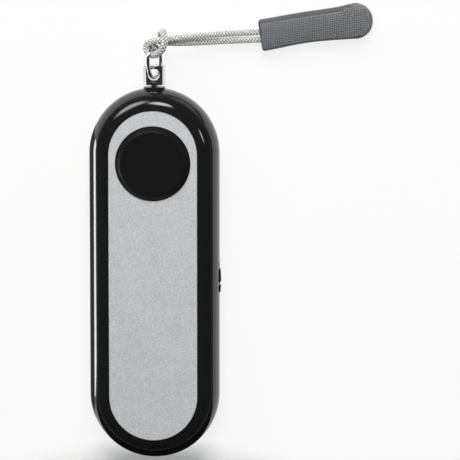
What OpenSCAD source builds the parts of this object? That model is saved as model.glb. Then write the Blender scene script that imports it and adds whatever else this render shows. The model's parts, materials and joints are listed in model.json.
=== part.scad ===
// Personal safety alarm: a pull pin on a cord sets off the siren, a large button tests it.
// Lying on its flat back: +Z out of the face, +Y towards the pull pin, origin at the
// middle of the back. All sizes are in millimetres.

/* [Body] */
// Length of the body
body_l = 108.8; // [104:0.1:120]
// Width of the body
body_w = 38; // [37:0.5:42]
// Radius of the rounded edges, front and back
edge_r = 8; // [7.5:0.1:8.5]
// Height of the straight band at the parting line
band_h = 1; // [0.6:0.1:1.6]
// Thickness of the shell walls
wall = 1.8; // [1.6:0.1:2]
// Depth of the tongue that locates one shell in the other
tongue_h = 1; // [0.6:0.1:1.2]
// Thickness of that tongue
tongue_t = 0.7; // [0.5:0.1:0.8]
// Width and depth of the seam line between the shells
seam = 0.3; // [0.2:0.05:0.4]

/* [Face] */
// Width of the face plate
plate_w = 25.7; // [25:0.1:27]
// Thickness of the face plate
plate_t = 0.9; // [0.7:0.1:1.1]
// How far the plate stands out of its recess
plate_proud = 0.1; // [0:0.05:0.2]
// Bevel round the plate's front edge
plate_bevel = 0.25; // [0.1:0.05:0.4]
// Thickness of the shell under the plate
shelf_t = 1.5; // [1.2:0.1:1.7]

/* [Button] */
// Diameter of the push button
button_d = 21.4; // [20:0.1:22]
// Distance of the button's centre from the pin end of the body
button_from_end = 21.4; // [21:0.1:23]
// How far the button stands out of the plate
button_proud = 1.2; // [1:0.1:1.6]
// Radius of the button's rounded rim
button_round = 1.3; // [1:0.1:1.6]
// Depth of the hollow for the thumb
button_dish = 0.35; // [0.1:0.05:0.5]
// Travel of the button
button_travel = 1.2; // [0.8:0.1:1.3]
// Width of the flange that keeps the button in
flange_w = 1.2; // [0.9:0.1:1.3]
// Thickness of that flange
flange_t = 1; // [0.8:0.1:1.2]
// Thickness of the button's skirt and roof
button_wall = 1.5; // [1.2:0.1:1.7]
// Diameter of the post that presses the switch
post_d = 5.2; // [4.4:0.1:5.6]
// Mean diameter of the return spring
spring_d = 13.2; // [12.8:0.1:14]
// Wire of the return spring
spring_wire = 0.7; // [0.5:0.05:0.8]
// Turns of the return spring
spring_turns = 4.5; // [3.5:0.5:5]

/* [Board] */
// Thickness of the circuit board
board_t = 1.6; // [1.4:0.1:1.8]
// Room between the board's edge and the shell
board_room = 2.7; // [2.4:0.1:3]
// How far the board reaches past the button's centre
board_reach = 8.9; // [8.4:0.1:9.4]
// Width of the push switch
switch_w = 8; // [7:0.1:8.2]
// Height of the push switch's case
switch_h = 3; // [2.6:0.1:3.2]
// Diameter of the switch's plunger
plunger_d = 3.6; // [3:0.1:4]
// Diameter of the sounder's cup
cup_d = 23.6; // [22:0.1:24]
// Height of the sounder's cup
cup_h = 4; // [3.6:0.1:4.2]
// Diameter of the piezo disc
disc_d = 21.4; // [20:0.1:21.6]
// Diameter of the step-up coil
coil_d = 5; // [4:0.1:6]
// Height of the step-up coil
coil_h = 4; // [3:0.1:4.2]
// Diameter of the capacitor's can
can_d = 6.3; // [5:0.1:6.3]
// Height of the capacitor
can_h = 3; // [2.6:0.1:3.2]

/* [Battery bay] */
// Diameter of an AAA cell
cell_d = 10.5; // [10.2:0.1:10.6]
// Length of an AAA cell over its nub
cell_l = 44.5; // [44:0.1:44.8]
// Length of the cell springs as fitted
cell_spring_l = 3.8; // [3.4:0.1:4.2]
// Thickness of the contact plates
contact_t = 0.4; // [0.3:0.05:0.5]
// Thickness of the battery door
door_t = 1.5; // [1.4:0.1:1.6]
// Width of the battery door
door_w = 22.8; // [22.6:0.1:23]
// How far the door's runners reach into the rails
runner_w = 0.7; // [0.5:0.1:0.8]
// Thickness of those runners
runner_t = 0.6; // [0.5:0.05:0.7]

/* [Side switch] */
// Distance of the side knob back from the board's end of the battery bay
side_back = 3.8; // [3:0.1:5]
// Length of the side knob
knob_l = 6.7; // [6:0.1:7]
// Height of the side knob
knob_h = 2.7; // [2.2:0.1:3]
// How far the knob stands out of the side
knob_proud = 0.42; // [0.3:0.02:0.8]
// Travel of the side knob
knob_travel = 2; // [1.5:0.1:2.2]

/* [Fasteners] */
// Diameter of the case screws
screw_d = 2.2; // [2:0.1:2.4]
// Diameter of their heads
screw_head_d = 4; // [3.6:0.1:4.2]
// Length of the case screws under the head
screw_l = 9; // [8:0.5:10]
// Diameter of the bosses that take them
boss_d = 5; // [4.6:0.1:5.2]

/* [Pull pin] */
// Diameter of the pin's stem
pin_d = 2.5; // [2.2:0.1:2.8]
// How far the stem reaches into the socket
pin_in = 9.75; // [9.4:0.05:10.2]
// Outer diameter of the pin socket
collar_d = 6.3; // [6:0.1:6.8]
// How far the socket stands out of the body
collar_proud = 0.25; // [0.1:0.05:0.5]
// Length of bare stem between the socket and the head
neck_l = 0.7; // [0.5:0.1:1]
// Diameter of the pin's head
head_d = 6.6; // [6.4:0.1:7]
// Length of the pin's head
head_l = 5.65; // [5.6:0.05:5.9]
// Diameter of the cross hole in the head
eye_d = 3.4; // [3.4:0.05:3.6]
// Depth of the countersink on the cross hole
eye_sink = 0.6; // [0.4:0.05:0.7]

/* [Ring, cord and tab] */
// Mean diameter of the jump ring
ring_d = 9.2; // [9.1:0.05:9.4]
// Wire of the jump ring
ring_wire = 1.1; // [0.9:0.05:1.1]
// Lean of the ring in the cross hole, in degrees
ring_tilt = 19.5; // [15:0.5:20]
// Diameter of the cord
cord_d = 2; // [1.6:0.1:2.1]
// Length of the pull tab
tab_l = 33.1; // [30:0.1:40]
// Width of the pull tab at the cord
tab_w = 9.2; // [8:0.1:10]
// Width of the pull tab at its flared end
tab_flare = 10.3; // [9.8:0.1:12]
// Thickness of the pull tab
tab_t = 5.2; // [4.8:0.1:5.6]
// Turn of the tab on the table, in degrees
tab_turn = 9; // [5:0.1:12]
// How much the tab is drawn in at its waist, on each side
tab_waist = 0.15; // [0:0.05:0.4]
// Sideways bow of the tab at its waist
tab_bow = 0.36; // [0:0.02:0.6]

/* [Hidden] */
$fn = 72;

// Clearances: a snug fit, a sliding fit, and room for a part that travels
snug = 0.05;
slide = 0.1;
room = 0.3;
// Small overlap that joins solids of one piece
bite = 0.2;

// Outline and edges of the body
end_r = body_w / 2;
spine = (body_l - body_w) / 2;
arc_in = end_r - edge_r;
back_arc_z = edge_r;
front_arc_z = edge_r + band_h;
seam_z = edge_r + band_h / 2;
recess_r = plate_w / 2 + slide;
front_z = front_arc_z + sqrt(pow(edge_r, 2) - pow(max(0, recess_r - arc_in), 2));
recess_z = front_z + plate_proud - plate_t;
shelf_z = recess_z - shelf_t;
plate_z = recess_z + plate_t;

// Button
button_y = body_l / 2 - button_from_end;
button_hole_d = button_d + 2 * 0.25;
button_top = plate_z + button_proud;
flange_top = shelf_z - room;
roof_z = button_top - button_dish - button_wall;

// Battery bay
cell_x = cell_d / 2 + 0.2;
cell_z = door_t + 0.6 + cell_d / 2;
bay_half = cell_x + cell_d / 2 + 0.25;
bay_end = 7.1;
bay_y0 = -body_l / 2 + bay_end;
bay_y1 = bay_y0 + cell_l + cell_spring_l + 2 * contact_t;
rib_t = 1.2;
contact_w = 8.5;
contact_h = 6.9;
rail_w = 2.3;
door_y1 = bay_y1 - slide;
runner_z = 0.5;
lip_l = 1.1;
lip_t = 0.6;
lip_w = 16;
grip_w = 11;
grip_d = 0.8;
grip_pitch = 1.8;

// Side switch
side_y = bay_y1 - side_back;
knob_neck_x = end_r - wall - 0.4;
apron_t = 1.1;
apron_x0 = knob_neck_x - apron_t;
apron_h = knob_h + 0.9;
apron_y0 = side_y - knob_l / 2 - knob_travel - 0.5;
apron_y1 = side_y + knob_l / 2 + knob_travel + 0.5;

// Board, and what it carries
board_z = seam_z - snug * 2;
board_under = board_z - board_t;
board_half = end_r - wall - board_room;
board_gap = 0.6;
board_y0 = bay_y1 + rib_t + board_gap;
board_y1 = button_y + board_reach;
switch_top = board_z + switch_h;
plunger_top = switch_top + button_travel + room;
sounder_y = button_y;
cup_z = wall + 0.5;
disc_step_z = cup_z + 1.2;
cup_wall = 0.8;
part_gap = 0.5;
coil_y = board_y0 + part_gap + coil_d / 2;
tag_reach = 2;
can_base = can_d + 0.3;
part_y = board_y0 + tag_reach + part_gap + can_base / 2;
chip_x = -3.4;
can_x = 3.8;

// The board's tongue beside the bay, and the slide switch on it
slide_switch_l = 9;
slide_switch_h = 1.8;
tongue_x0 = bay_half + 0.35;
tongue_x1 = apron_x0 - 0.4;
tongue_y0 = side_y - slide_switch_l / 2 - part_gap;
slide_switch_x0 = tongue_x0 + room;
slide_switch_x1 = tongue_x1 - room;
lever_w = 2;
lever_h = 0.8;
lever_z = board_z + 0.5;

// Bosses and screws: two beside the board's foot, two beside the pin socket
boss_in = [2.7, 7.4];
boss_up = [5, 9.2];
boss_x = [board_half - boss_in[0], end_r - wall - boss_in[1]];
boss_y = [board_y0 + boss_up[0], spine + boss_up[1]];
boss_places = [for (i = [0, 1]) for (s = [-1, 1]) [s * boss_x[i], boss_y[i]]];
screw_seat_z = 3;
screw_head_h = 1.4;
prop_d = 3;
prop_x = cup_d / 2 + room + prop_d / 2;

// Pin, socket and contacts
pin_z = seam_z;
collar_y = body_l / 2 + collar_proud;
tip_y = collar_y - pin_in;
socket_y0 = tip_y + 3;
socket_flange_d = collar_d + 2.6;
socket_flange_t = 1.2;
// Where the flange's highest and lowest points would meet the inside of the rounded end
socket_stop_y = spine + arc_in + sqrt(pow(edge_r - wall, 2) - pow((socket_flange_d - band_h) / 2, 2));
socket_rib_y1 = socket_stop_y - 2 * slide - socket_flange_t;
socket_rib_t = 2.2;
head_y = collar_y + neck_l;
eye_y = head_y + 3.05;
leaf_w = 3;
leaf_t = 0.25;

// Ring: its wire lies near the back of the cross hole, so its centre is well beyond the head
ring_y = eye_y + ring_d / 2 - 1;

// The cord's route, from the tab round the ring and back, chosen for this eye place
route_eye_y = 58.4;
cord_route = [
    [33.2, 68.56, 2.6], [30.6, 68.16, 2.6], [27, 67.98, 2.7], [21, 67.76, 3.4], [14.16, 67.51, 5.37],
    [8.27, 67.39, 7.35], [4.3, 67.52, 8.35], [1.86, 67.95, 8.46], [0.06, 68.22, 8.22],
    [-1.13, 67.72, 7.95], [-1.5, 66.59, 7.8], [-0.96, 65.42, 7.76], [0.37, 64.81, 7.62],
    [1.88, 64.98, 7.1], [2.48, 66.08, 6.31], [1.96, 67.97, 5.99], [1.71, 69.81, 7.06],
    [2.12, 70.84, 9.18], [2.85, 70.75, 11.51], [3.36, 69.68, 13.23], [3.36, 68.03, 14],
    [2.77, 66.32, 13.86], [1.73, 64.95, 12.95], [0.55, 64.18, 11.67], [-0.57, 64.06, 10.6],
    [-1.62, 64.65, 10.05], [-2.24, 65.8, 9.99], [-2.05, 67, 10.33], [-1, 67.8, 10.81], [0.8, 68.31, 11],
    [3.8, 68.71, 10.49], [8.4, 69.11, 8.97], [14.27, 69.52, 6.62], [21, 69.9, 4.1], [27, 70.13, 2.8],
    [30.3, 70.34, 2.6], [32.9, 70.75, 2.6]
];
cord_steps = 3;
cord_sides = 8;
cord_shift = [0, eye_y - route_eye_y, 0];
tab_mouth = [30.55, 69.23, 2.6] + cord_shift;
strand_gap = 2.2;
mouth_l = 2.6;
mouth_d = cord_d + 3 * slide;

// Curves and tubes

// One point of a smooth curve through b and c, with neighbours a and d
function between(a, b, c, d, t) =
    (2 * b + (c - a) * t + (2 * a - 5 * b + 4 * c - d) * t * t + (3 * b - a - 3 * c + d) * t * t * t) / 2;

// A smooth curve through all the points of a route
function smooth(route, steps) =
    let (last = len(route) - 1)
    let (p = concat([2 * route[0] - route[1]], route, [2 * route[last] - route[last - 1]]))
    concat(
        [for (i = [1:last]) for (j = [0:steps - 1]) between(p[i - 1], p[i], p[i + 1], p[i + 2], j / steps)],
        [route[last]]
    );

function unit(v) = v / norm(v);

function tangents(line) =
    let (last = len(line) - 1)
    [for (i = [0:last]) unit(line[min(last, i + 1)] - line[max(0, i - 1)])];

// A side direction carried along the tangents without twist
function carried(ways, side, i = 0) =
    i == len(ways) ? [] :
    let (here = unit(side - (side * ways[i]) * ways[i]))
    concat([here], carried(ways, here, i + 1));

// The least gap between stretches of a tube that lie further apart than reach along it
function least_gap(line, d, reach) =
    let (step = norm(line[1] - line[0]))
    let (skip = ceil(reach / step))
    min([
        for (i = [0:len(line) - 1]) for (j = [i + skip:1:len(line) - 1]) norm(line[i] - line[j])
    ]) - d;

// A helix about Z from z0 to z1, whose radius goes from r0 to r1
function helix(r0, r1, z0, z1, turns, steps) =
    let (n = round(turns * steps))
    [for (i = [0:n]) let (t = i / n, r = r0 + (r1 - r0) * t)
        [r * cos(360 * turns * t), r * sin(360 * turns * t), z0 + (z1 - z0) * t]];

// A closed round tube along a line of points
module tube(line, d, sides) {
    ways = tangents(line);
    sideways = carried(ways, [0.31, 0.27, 0.91]);
    rings = len(line);
    points = [
        for (i = [0:rings - 1]) for (k = [0:sides - 1])
            let (a = 360 * k / sides)
            line[i] + d / 2 * (cos(a) * sideways[i] + sin(a) * cross(ways[i], sideways[i]))
    ];
    walls = [
        for (i = [0:rings - 2]) for (k = [0:sides - 1])
            let (a = i * sides + k, b = i * sides + (k + 1) % sides)
            each [[a, a + sides, b], [b, a + sides, b + sides]]
    ];
    caps = [
        for (k = [1:sides - 2]) each [[0, k, k + 1], [for (c = [0, k + 1, k]) (rings - 1) * sides + c]]
    ];
    polyhedron(points, concat(walls, caps));
}

// A solid through outlines of equally many points, one above the other
module loft(layers) {
    count = len(layers[0]);
    top = (len(layers) - 1) * count;
    points = [for (layer = layers) each layer];
    walls = [
        for (i = [0:len(layers) - 2]) for (k = [0:count - 1])
            let (a = i * count + k, b = i * count + (k + 1) % count)
            each [[a, a + count, b], [b, a + count, b + count]]
    ];
    polyhedron(
        points,
        concat(walls, [[for (k = [0:count - 1]) k]], [[for (k = [count - 1:-1:0]) top + k]])
    );
}

// Body forms

// Half of the body's cross-section, drawn in by inset and cut off at top
module edge_section(inset, top) {
    intersection() {
        union() {
            translate([0, inset])
                square([arc_in, 2 * edge_r + band_h - 2 * inset]);
            translate([0, back_arc_z])
                square([end_r - inset, band_h]);
            for (z = [back_arc_z, front_arc_z])
                translate([arc_in, z])
                    circle(edge_r - inset);
        }
        translate([0, inset])
            square([end_r, top - inset]);
    }
}

// Carries a half section along both sides and round both ends
module round_the_body() {
    for (s = [0, 1]) mirror([0, s, 0])
        translate([0, spine, 0])
            rotate_extrude(angle = 180)
                children();
    for (s = [0, 1]) mirror([s, 0, 0])
        rotate([90, 0, 0])
            linear_extrude(2 * spine, center = true)
                children();
}

module whole_body() {
    round_the_body() edge_section(0, front_z);
}

module seam_line() {
    translate([end_r - seam, seam_z - seam / 2])
        square([2 * seam, seam]);
}

// A flat stadium concentric with the body
module stadium(r) {
    square([2 * r, 2 * spine], center = true);
    for (s = [-1, 1])
        translate([0, s * spine])
            circle(r);
}

module box(x0, x1, y0, y1, z0, z1) {
    translate([x0, y0, z0])
        cube([x1 - x0, y1 - y0, z1 - z0]);
}

// A cylinder along Y from y0 to y1, on the pin's axis unless moved
module along_y(d, y0, y1, x = 0, z = pin_z) {
    translate([x, y0, z])
        rotate([-90, 0, 0])
            cylinder(h = y1 - y0, d = d);
}

module pin_way() {
    along_y(collar_d + 2 * snug, socket_rib_y1 - socket_rib_t - 1, body_l);
}

module socket_rib(z0, z1) {
    half = socket_flange_d / 2 + 1;
    box(-half, half, socket_rib_y1 - socket_rib_t, socket_rib_y1, z0, z1);
}

module knob_window() {
    box(
        apron_x0, end_r + 1,
        side_y - knob_l / 2 - 0.15, side_y + knob_l / 2 + knob_travel + 0.15,
        pin_z - knob_h / 2 - 0.15, pin_z + knob_h / 2 + 0.15
    );
}

// Casing

module front_section() {
    difference() {
        edge_section(0, front_z);
        edge_section(wall, shelf_z);
        square([end_r + 1, seam_z]);
        translate([0, recess_z])
            square([recess_r, front_z]);
        seam_line();
    }
    translate([end_r - wall + snug, seam_z - tongue_h])
        square([tongue_t, tongue_h + bite]);
}

// Ribs of the front shell that hold the cells down
module cell_cradle(y) {
    difference() {
        box(-bay_half, bay_half, y - rib_t / 2, y + rib_t / 2, cell_z + cell_d / 4, shelf_z + bite);
        for (s = [-1, 1])
            along_y(cell_d + 2 * slide, y - rib_t, y + rib_t, s * cell_x, cell_z);
    }
}

module front_shell() {
    color("#17181a") difference() {
        union() {
            round_the_body() front_section();
            intersection() {
                whole_body();
                union() {
                    for (p = boss_places)
                        translate([p[0], p[1], seam_z])
                            cylinder(h = shelf_z - seam_z + bite, d = boss_d);
                    socket_rib(seam_z, shelf_z + bite);
                    for (share = [0.25, 0.75])
                        cell_cradle(bay_y0 + share * cell_l);
                }
            }
        }
        translate([0, button_y, shelf_z - 1])
            cylinder(h = front_z, d = button_hole_d);
        for (p = boss_places)
            translate([p[0], p[1], seam_z - 1])
                cylinder(h = screw_seat_z + screw_l + room - seam_z + 1, d = screw_d + 2 * snug);
        pin_way();
        knob_window();
    }
}

module rear_section() {
    difference() {
        edge_section(0, seam_z);
        edge_section(wall, shelf_z);
        seam_line();
        translate([end_r - wall - 1, seam_z - tongue_h - slide])
            square([1 + tongue_t + 2 * snug, tongue_h + 1]);
    }
}

module sound_slots() {
    field = cup_d / 2 - 3.4;
    pitch = 3;
    slot = 1.4;
    for (i = [-3:3]) {
        half = sqrt(max(0, pow(field + 1, 2) - pow(i * pitch, 2))) - slot / 2;
        if (half > slot)
            translate([0, sounder_y + i * pitch, -1])
                linear_extrude(wall + 2) {
                    square([2 * half, slot], center = true);
                    for (s = [-1, 1])
                        translate([s * half, 0])
                            circle(d = slot);
                }
    }
}

// The way that the door slides in, and the opening above it
module door_way() {
    half = door_w / 2 + slide;
    box(-half, half, -body_l, bay_y1, -1, door_t + slide);
    box(-bay_half, bay_half, bay_y0, bay_y1, -1, seam_z);
    reach = half + runner_w + snug;
    box(-reach, reach, -body_l, bay_y1, runner_z - slide, runner_z + runner_t + slide);
    box(
        -lip_w / 2 - slide, lip_w / 2 + slide, bay_y1 - 1, bay_y1 + lip_l + slide,
        door_t - lip_t - slide, door_t + slide
    );
}

module rear_shell() {
    bay_wall_z = board_under - room;
    color("#17181a") difference() {
        union() {
            round_the_body() rear_section();
            intersection() {
                whole_body();
                union() {
                    for (s = [-1, 1])
                        box(
                            s < 0 ? -bay_half - rail_w : bay_half, s < 0 ? -bay_half : bay_half + rail_w,
                            bay_y0 - rib_t, bay_y1 + rib_t, 0, bay_wall_z
                        );
                    box(-bay_half, bay_half, bay_y1, bay_y1 + rib_t, 0, seam_z - slide);
                    box(-bay_half, bay_half, bay_y0 - rib_t, bay_y0, 0, seam_z - slide - tongue_h);
                    box(-bay_half, bay_half, -body_l / 2, bay_y0, 0, door_t + 2);
                    for (i = [0:3])
                        translate([boss_places[i][0], boss_places[i][1], 0]) {
                            cylinder(h = seam_z - slide, d = boss_d);
                            cylinder(h = board_under, d = boss_d + (i < 2 ? 2 : 0));
                        }
                    for (s = [-1, 1])
                        translate([s * prop_x, sounder_y, 0])
                            cylinder(h = board_under, d = prop_d);
                    translate([0, sounder_y, 0])
                        cylinder(h = cup_z, d = cup_d + 4 * slide);
                    socket_rib(wall - bite, seam_z - slide);
                }
            }
        }
        door_way();
        translate([0, sounder_y, wall])
            cylinder(h = cup_z, d = cup_d - 2);
        translate([0, sounder_y, cup_z])
            cylinder(h = cup_h + 1, d = cup_d + 2 * slide);
        sound_slots();
        for (p = boss_places)
            translate([p[0], p[1], 0]) {
                translate([0, 0, -1])
                    cylinder(h = seam_z + 2, d = screw_d + 0.3);
                translate([0, 0, -1])
                    cylinder(h = screw_seat_z + 1, d = screw_head_d + 0.4);
            }
        pin_way();
        knob_window();
    }
}

module face_plate() {
    color("#c3c5c7") difference() {
        union() {
            translate([0, 0, recess_z])
                linear_extrude(plate_t - plate_bevel)
                    stadium(plate_w / 2);
            translate([0, 0, plate_z - plate_bevel - bite])
                intersection() {
                    linear_extrude(plate_bevel + bite)
                        stadium(plate_w / 2);
                    plate_crown();
                }
        }
        translate([0, button_y, recess_z - 1])
            cylinder(h = plate_t + 2, d = button_hole_d);
    }
}

// The plate's bevelled front edge, from a little below the bevel up
module plate_crown() {
    round_the_body()
        polygon([
            [0, 0], [plate_w / 2, 0], [plate_w / 2, bite],
            [plate_w / 2 - plate_bevel, bite + plate_bevel], [0, bite + plate_bevel]
        ]);
}

module case_screws() {
    color("#b8babc") for (p = boss_places)
        translate([p[0], p[1], screw_seat_z - screw_head_h])
            difference() {
                union() {
                    cylinder(h = screw_head_h, d = screw_head_d);
                    cylinder(h = screw_head_h + screw_l - screw_d / 2, d = screw_d);
                    translate([0, 0, screw_head_h + screw_l - screw_d / 2])
                        cylinder(h = screw_d / 2, d1 = screw_d, d2 = 0.4);
                }
                for (a = [0, 90])
                    rotate([0, 0, a])
                        translate([0, 0, 0.3])
                            cube([screw_head_d * 0.6, 0.6, 1.4], center = true);
            }
}

// Button and its switch

module push_button() {
    dish_r = (pow(button_d / 2 - button_round, 2) + pow(button_dish, 2)) / (2 * button_dish);
    rim_r = button_d / 2 - button_round;
    color("#1d1e20") translate([0, button_y, 0])
        rotate_extrude()
            difference() {
                union() {
                    translate([0, flange_top - flange_t])
                        square([button_d / 2 + flange_w, flange_t]);
                    translate([0, flange_top - flange_t])
                        square([button_d / 2, button_top - button_round - flange_top + flange_t]);
                    translate([0, flange_top])
                        square([rim_r, button_top - flange_top]);
                    translate([rim_r, button_top - button_round])
                        circle(button_round);
                }
                translate([0, button_top - button_dish + dish_r])
                    intersection() {
                        circle(dish_r, $fn = 720);
                        translate([0, -dish_r])
                            square([rim_r, 2 * button_dish]);
                    }
                translate([post_d / 2, flange_top - flange_t - 1])
                    square([button_d / 2 - button_wall - post_d / 2, roof_z - flange_top + flange_t + 1]);
                translate([0, flange_top - flange_t - 1])
                    square([post_d / 2, plunger_top - flange_top + flange_t + 1]);
            }
}

module button_spring() {
    coil_z0 = board_z + spring_wire / 2 + snug;
    coil_z1 = roof_z - spring_wire / 2 - snug;
    color("#b8babc") translate([0, button_y, 0])
        tube(helix(spring_d / 2, spring_d / 2, coil_z0, coil_z1, spring_turns, 12), spring_wire, 6);
}

module push_switch() {
    color("#2b2d30") difference() {
        union() {
            translate([0, button_y, board_z + switch_h / 2])
                cube([switch_w, switch_w, switch_h], center = true);
            for (sx = [-1, 1]) for (sy = [-1, 1])
                translate([sx * switch_w / 3, button_y + sy * switch_w / 3, switch_top])
                    cylinder(h = 0.3, d = 1);
        }
        translate([0, button_y, board_z + 0.6])
            cylinder(h = switch_h, d = plunger_d + 2 * slide);
    }
}

module switch_plunger() {
    foot_z = board_z + 0.6 + button_travel + 0.1;
    color("#a33a2a") translate([0, button_y, foot_z]) {
        cylinder(h = plunger_top - foot_z, d = plunger_d);
    }
}

// Board and electronics

module board_outline() {
    difference() {
        union() {
            translate([-board_half, board_y0])
                square([2 * board_half, board_y1 - board_y0]);
            translate([tongue_x0, tongue_y0])
                square([tongue_x1 - tongue_x0, board_y0 - tongue_y0 + 1]);
        }
        for (s = [-1, 1])
            translate([s * boss_x[0], boss_y[0]])
                circle(d = boss_d + 2 * slide);
    }
}

module circuit_board() {
    color("#1f5b3a") translate([0, 0, board_under])
        linear_extrude(board_t)
            board_outline();
}

module sounder_cup() {
    color("#222426") translate([0, sounder_y, 0])
        difference() {
            translate([0, 0, cup_z])
                cylinder(h = cup_h, d = cup_d);
            translate([0, 0, cup_z - 1])
                cylinder(h = disc_step_z - cup_z + 1, d = disc_d + 2 * slide);
            translate([0, 0, disc_step_z - 1])
                cylinder(h = cup_z + cup_h - cup_wall - disc_step_z + 1, d = disc_d - 2);
        }
}

module piezo_disc() {
    brass_t = 0.3;
    color("#c9a24a") translate([0, sounder_y, disc_step_z - brass_t]) {
        cylinder(h = brass_t, d = disc_d);
        translate([0, 0, -0.25])
            cylinder(h = 0.25 + brass_t / 2, d = disc_d * 0.62);
    }
}

module control_chip() {
    chip = [4, 5, 1.5];
    leg_pitch = 1.27;
    color("#202224") translate([chip_x, part_y, board_z]) {
        translate([-chip[0] / 2, -chip[1] / 2, 0.1])
            cube([chip[0], chip[1], chip[2]]);
        for (s = [-1, 1]) for (i = [-1.5:1.5])
            translate([s * (chip[0] / 2 + 0.45), i * leg_pitch, 0.35])
                cube([1, 0.4, 0.7], center = true);
    }
}

module step_up_coil() {
    color("#6a4a2c") translate([0, coil_y, board_under])
        mirror([0, 0, 1]) {
            cylinder(h = coil_h / 5, d = coil_d);
            cylinder(h = coil_h, d = coil_d * 0.8);
            translate([0, 0, coil_h * 4 / 5])
                cylinder(h = coil_h / 5, d = coil_d);
        }
}

module capacitor() {
    base_h = 0.8;
    color("#9aa0a6") translate([can_x, part_y, board_z]) {
        translate([0, 0, base_h / 2])
            cube([can_base, can_base, base_h], center = true);
        cylinder(h = can_h, d = can_d);
    }
}

// Side switch

module slide_switch() {
    color("#b8babc") difference() {
        box(
            slide_switch_x0, slide_switch_x1, side_y - slide_switch_l / 2, side_y + slide_switch_l / 2,
            board_z, board_z + slide_switch_h
        );
        box(
            slide_switch_x1 - 1.4, slide_switch_x1 + 1,
            side_y - lever_w / 2 - slide, side_y + lever_w / 2 + knob_travel + slide,
            lever_z - slide, lever_z + lever_h + slide
        );
    }
}

module slide_lever() {
    color("#202224") box(
        slide_switch_x1 - 1.2, apron_x0 + apron_t * 0.6,
        side_y - lever_w / 2, side_y + lever_w / 2, lever_z, lever_z + lever_h
    );
}

module side_knob() {
    groove_d = 1.4;
    color("#1d1e20") difference() {
        union() {
            box(apron_x0, knob_neck_x, apron_y0, apron_y1, pin_z - apron_h / 2, pin_z + apron_h / 2);
            box(
                apron_x0, end_r, side_y - knob_l / 2, side_y + knob_l / 2,
                pin_z - knob_h / 2, pin_z + knob_h / 2
            );
            knob_crown();
        }
        translate([end_r + knob_proud + 0.3, side_y - knob_l * 0.14, pin_z])
            cylinder(h = 2 * knob_h, d = groove_d, center = true);
        box(
            apron_x0 - 1, apron_x0 + apron_t * 0.6 + slide,
            side_y - lever_w / 2 - slide, side_y + lever_w / 2 + slide,
            lever_z - slide, lever_z + lever_h + slide
        );
    }
}

// The knob's slightly domed outside, a slice of a round bar that stands along the knob
module knob_crown() {
    rise = 0.4 * knob_proud;
    crown_r = (pow(knob_l / 2, 2) + pow(rise, 2)) / (2 * rise);
    intersection() {
        translate([end_r + knob_proud - crown_r, side_y, pin_z])
            cylinder(h = knob_h, r = crown_r, center = true, $fn = 360);
        box(
            end_r - bite, end_r + 2 * knob_proud, side_y - knob_l / 2, side_y + knob_l / 2,
            pin_z - knob_h / 2, pin_z + knob_h / 2
        );
    }
}

// Battery bay

// One cell: the nub points along way, which is 1 for +Y and -1 for -Y
module cell(x, nub_y, way) {
    nub_l = 1.2;
    nub_d = 3.8;
    far_y = nub_y - way * cell_l;
    body_y = nub_y - way * nub_l;
    along_y(cell_d, min(far_y, body_y), max(far_y, body_y), x, cell_z);
    along_y(nub_d, min(nub_y, body_y) - (way > 0 ? 1 : 0), max(nub_y, body_y) + (way > 0 ? 0 : 1), x, cell_z);
}

module left_cell() {
    color("#3c6a8c") cell(-cell_x, bay_y1 - contact_t, 1);
}

module right_cell() {
    color("#3c6a8c") cell(cell_x, bay_y0 + contact_t, -1);
}

module contact_face(x, y0) {
    box(
        x - contact_w / 2, x + contact_w / 2, y0, y0 + contact_t,
        cell_z - contact_h / 2, cell_z + contact_h / 2
    );
}

module battery_terminals() {
    tag_w = 2.4;
    color("#c7c9cb") for (s = [-1, 1]) {
        contact_face(s * cell_x, bay_y1 - contact_t);
        box(
            s * cell_x - tag_w / 2, s * cell_x + tag_w / 2, bay_y1 - contact_t, board_y0 + tag_reach,
            board_z, board_z + contact_t
        );
    }
}

module bridge_contact() {
    color("#c7c9cb") {
        for (s = [-1, 1])
            contact_face(s * cell_x, bay_y0);
        box(-cell_x, cell_x, bay_y0, bay_y0 + contact_t, cell_z - contact_h / 4, cell_z + contact_h / 4);
    }
}

module cell_spring(x, y0, way) {
    wire = 0.7;
    wide_r = 3.3;
    narrow_r = 2.2;
    turns = 3;
    color("#c7c9cb") translate([x, y0, cell_z])
        rotate([way > 0 ? -90 : 90, 0, 0])
            tube(
                helix(wide_r, narrow_r, wire / 2 + snug, cell_spring_l - wire / 2 - snug, turns, 12),
                wire, 6
            );
}

module battery_springs() {
    cell_spring(-cell_x, bay_y0 + contact_t, 1);
    cell_spring(cell_x, bay_y1 - contact_t, -1);
}

module battery_door() {
    half = door_w / 2;
    grip_y = bay_y0 + 6;
    color("#17181a") difference() {
        intersection() {
            whole_body();
            union() {
                box(-half, half, -body_l, door_y1, -1, door_t);
                box(-half - runner_w, half + runner_w, -body_l, door_y1, runner_z, runner_z + runner_t);
                box(-lip_w / 2, lip_w / 2, door_y1 - 1, door_y1 + lip_l, door_t - lip_t, door_t);
            }
        }
        for (i = [0:3])
            translate([0, grip_y + i * grip_pitch, 0])
                cube([grip_w, grip_d, grip_d], center = true);
    }
}

// Pull pin and socket

module pin_socket() {
    mouth = 0.35;
    color("#17181a") difference() {
        union() {
            along_y(collar_d, socket_y0, collar_y);
            along_y(socket_flange_d, socket_rib_y1 + slide, socket_stop_y - slide);
        }
        along_y(pin_d + 2 * snug, socket_y0 - 1, collar_y + 1);
        translate([0, collar_y - mouth, pin_z])
            rotate([-90, 0, 0])
                cylinder(h = mouth + 0.01, d1 = pin_d + 2 * snug, d2 = pin_d + 2 * snug + 2 * mouth);
    }
}

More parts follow.
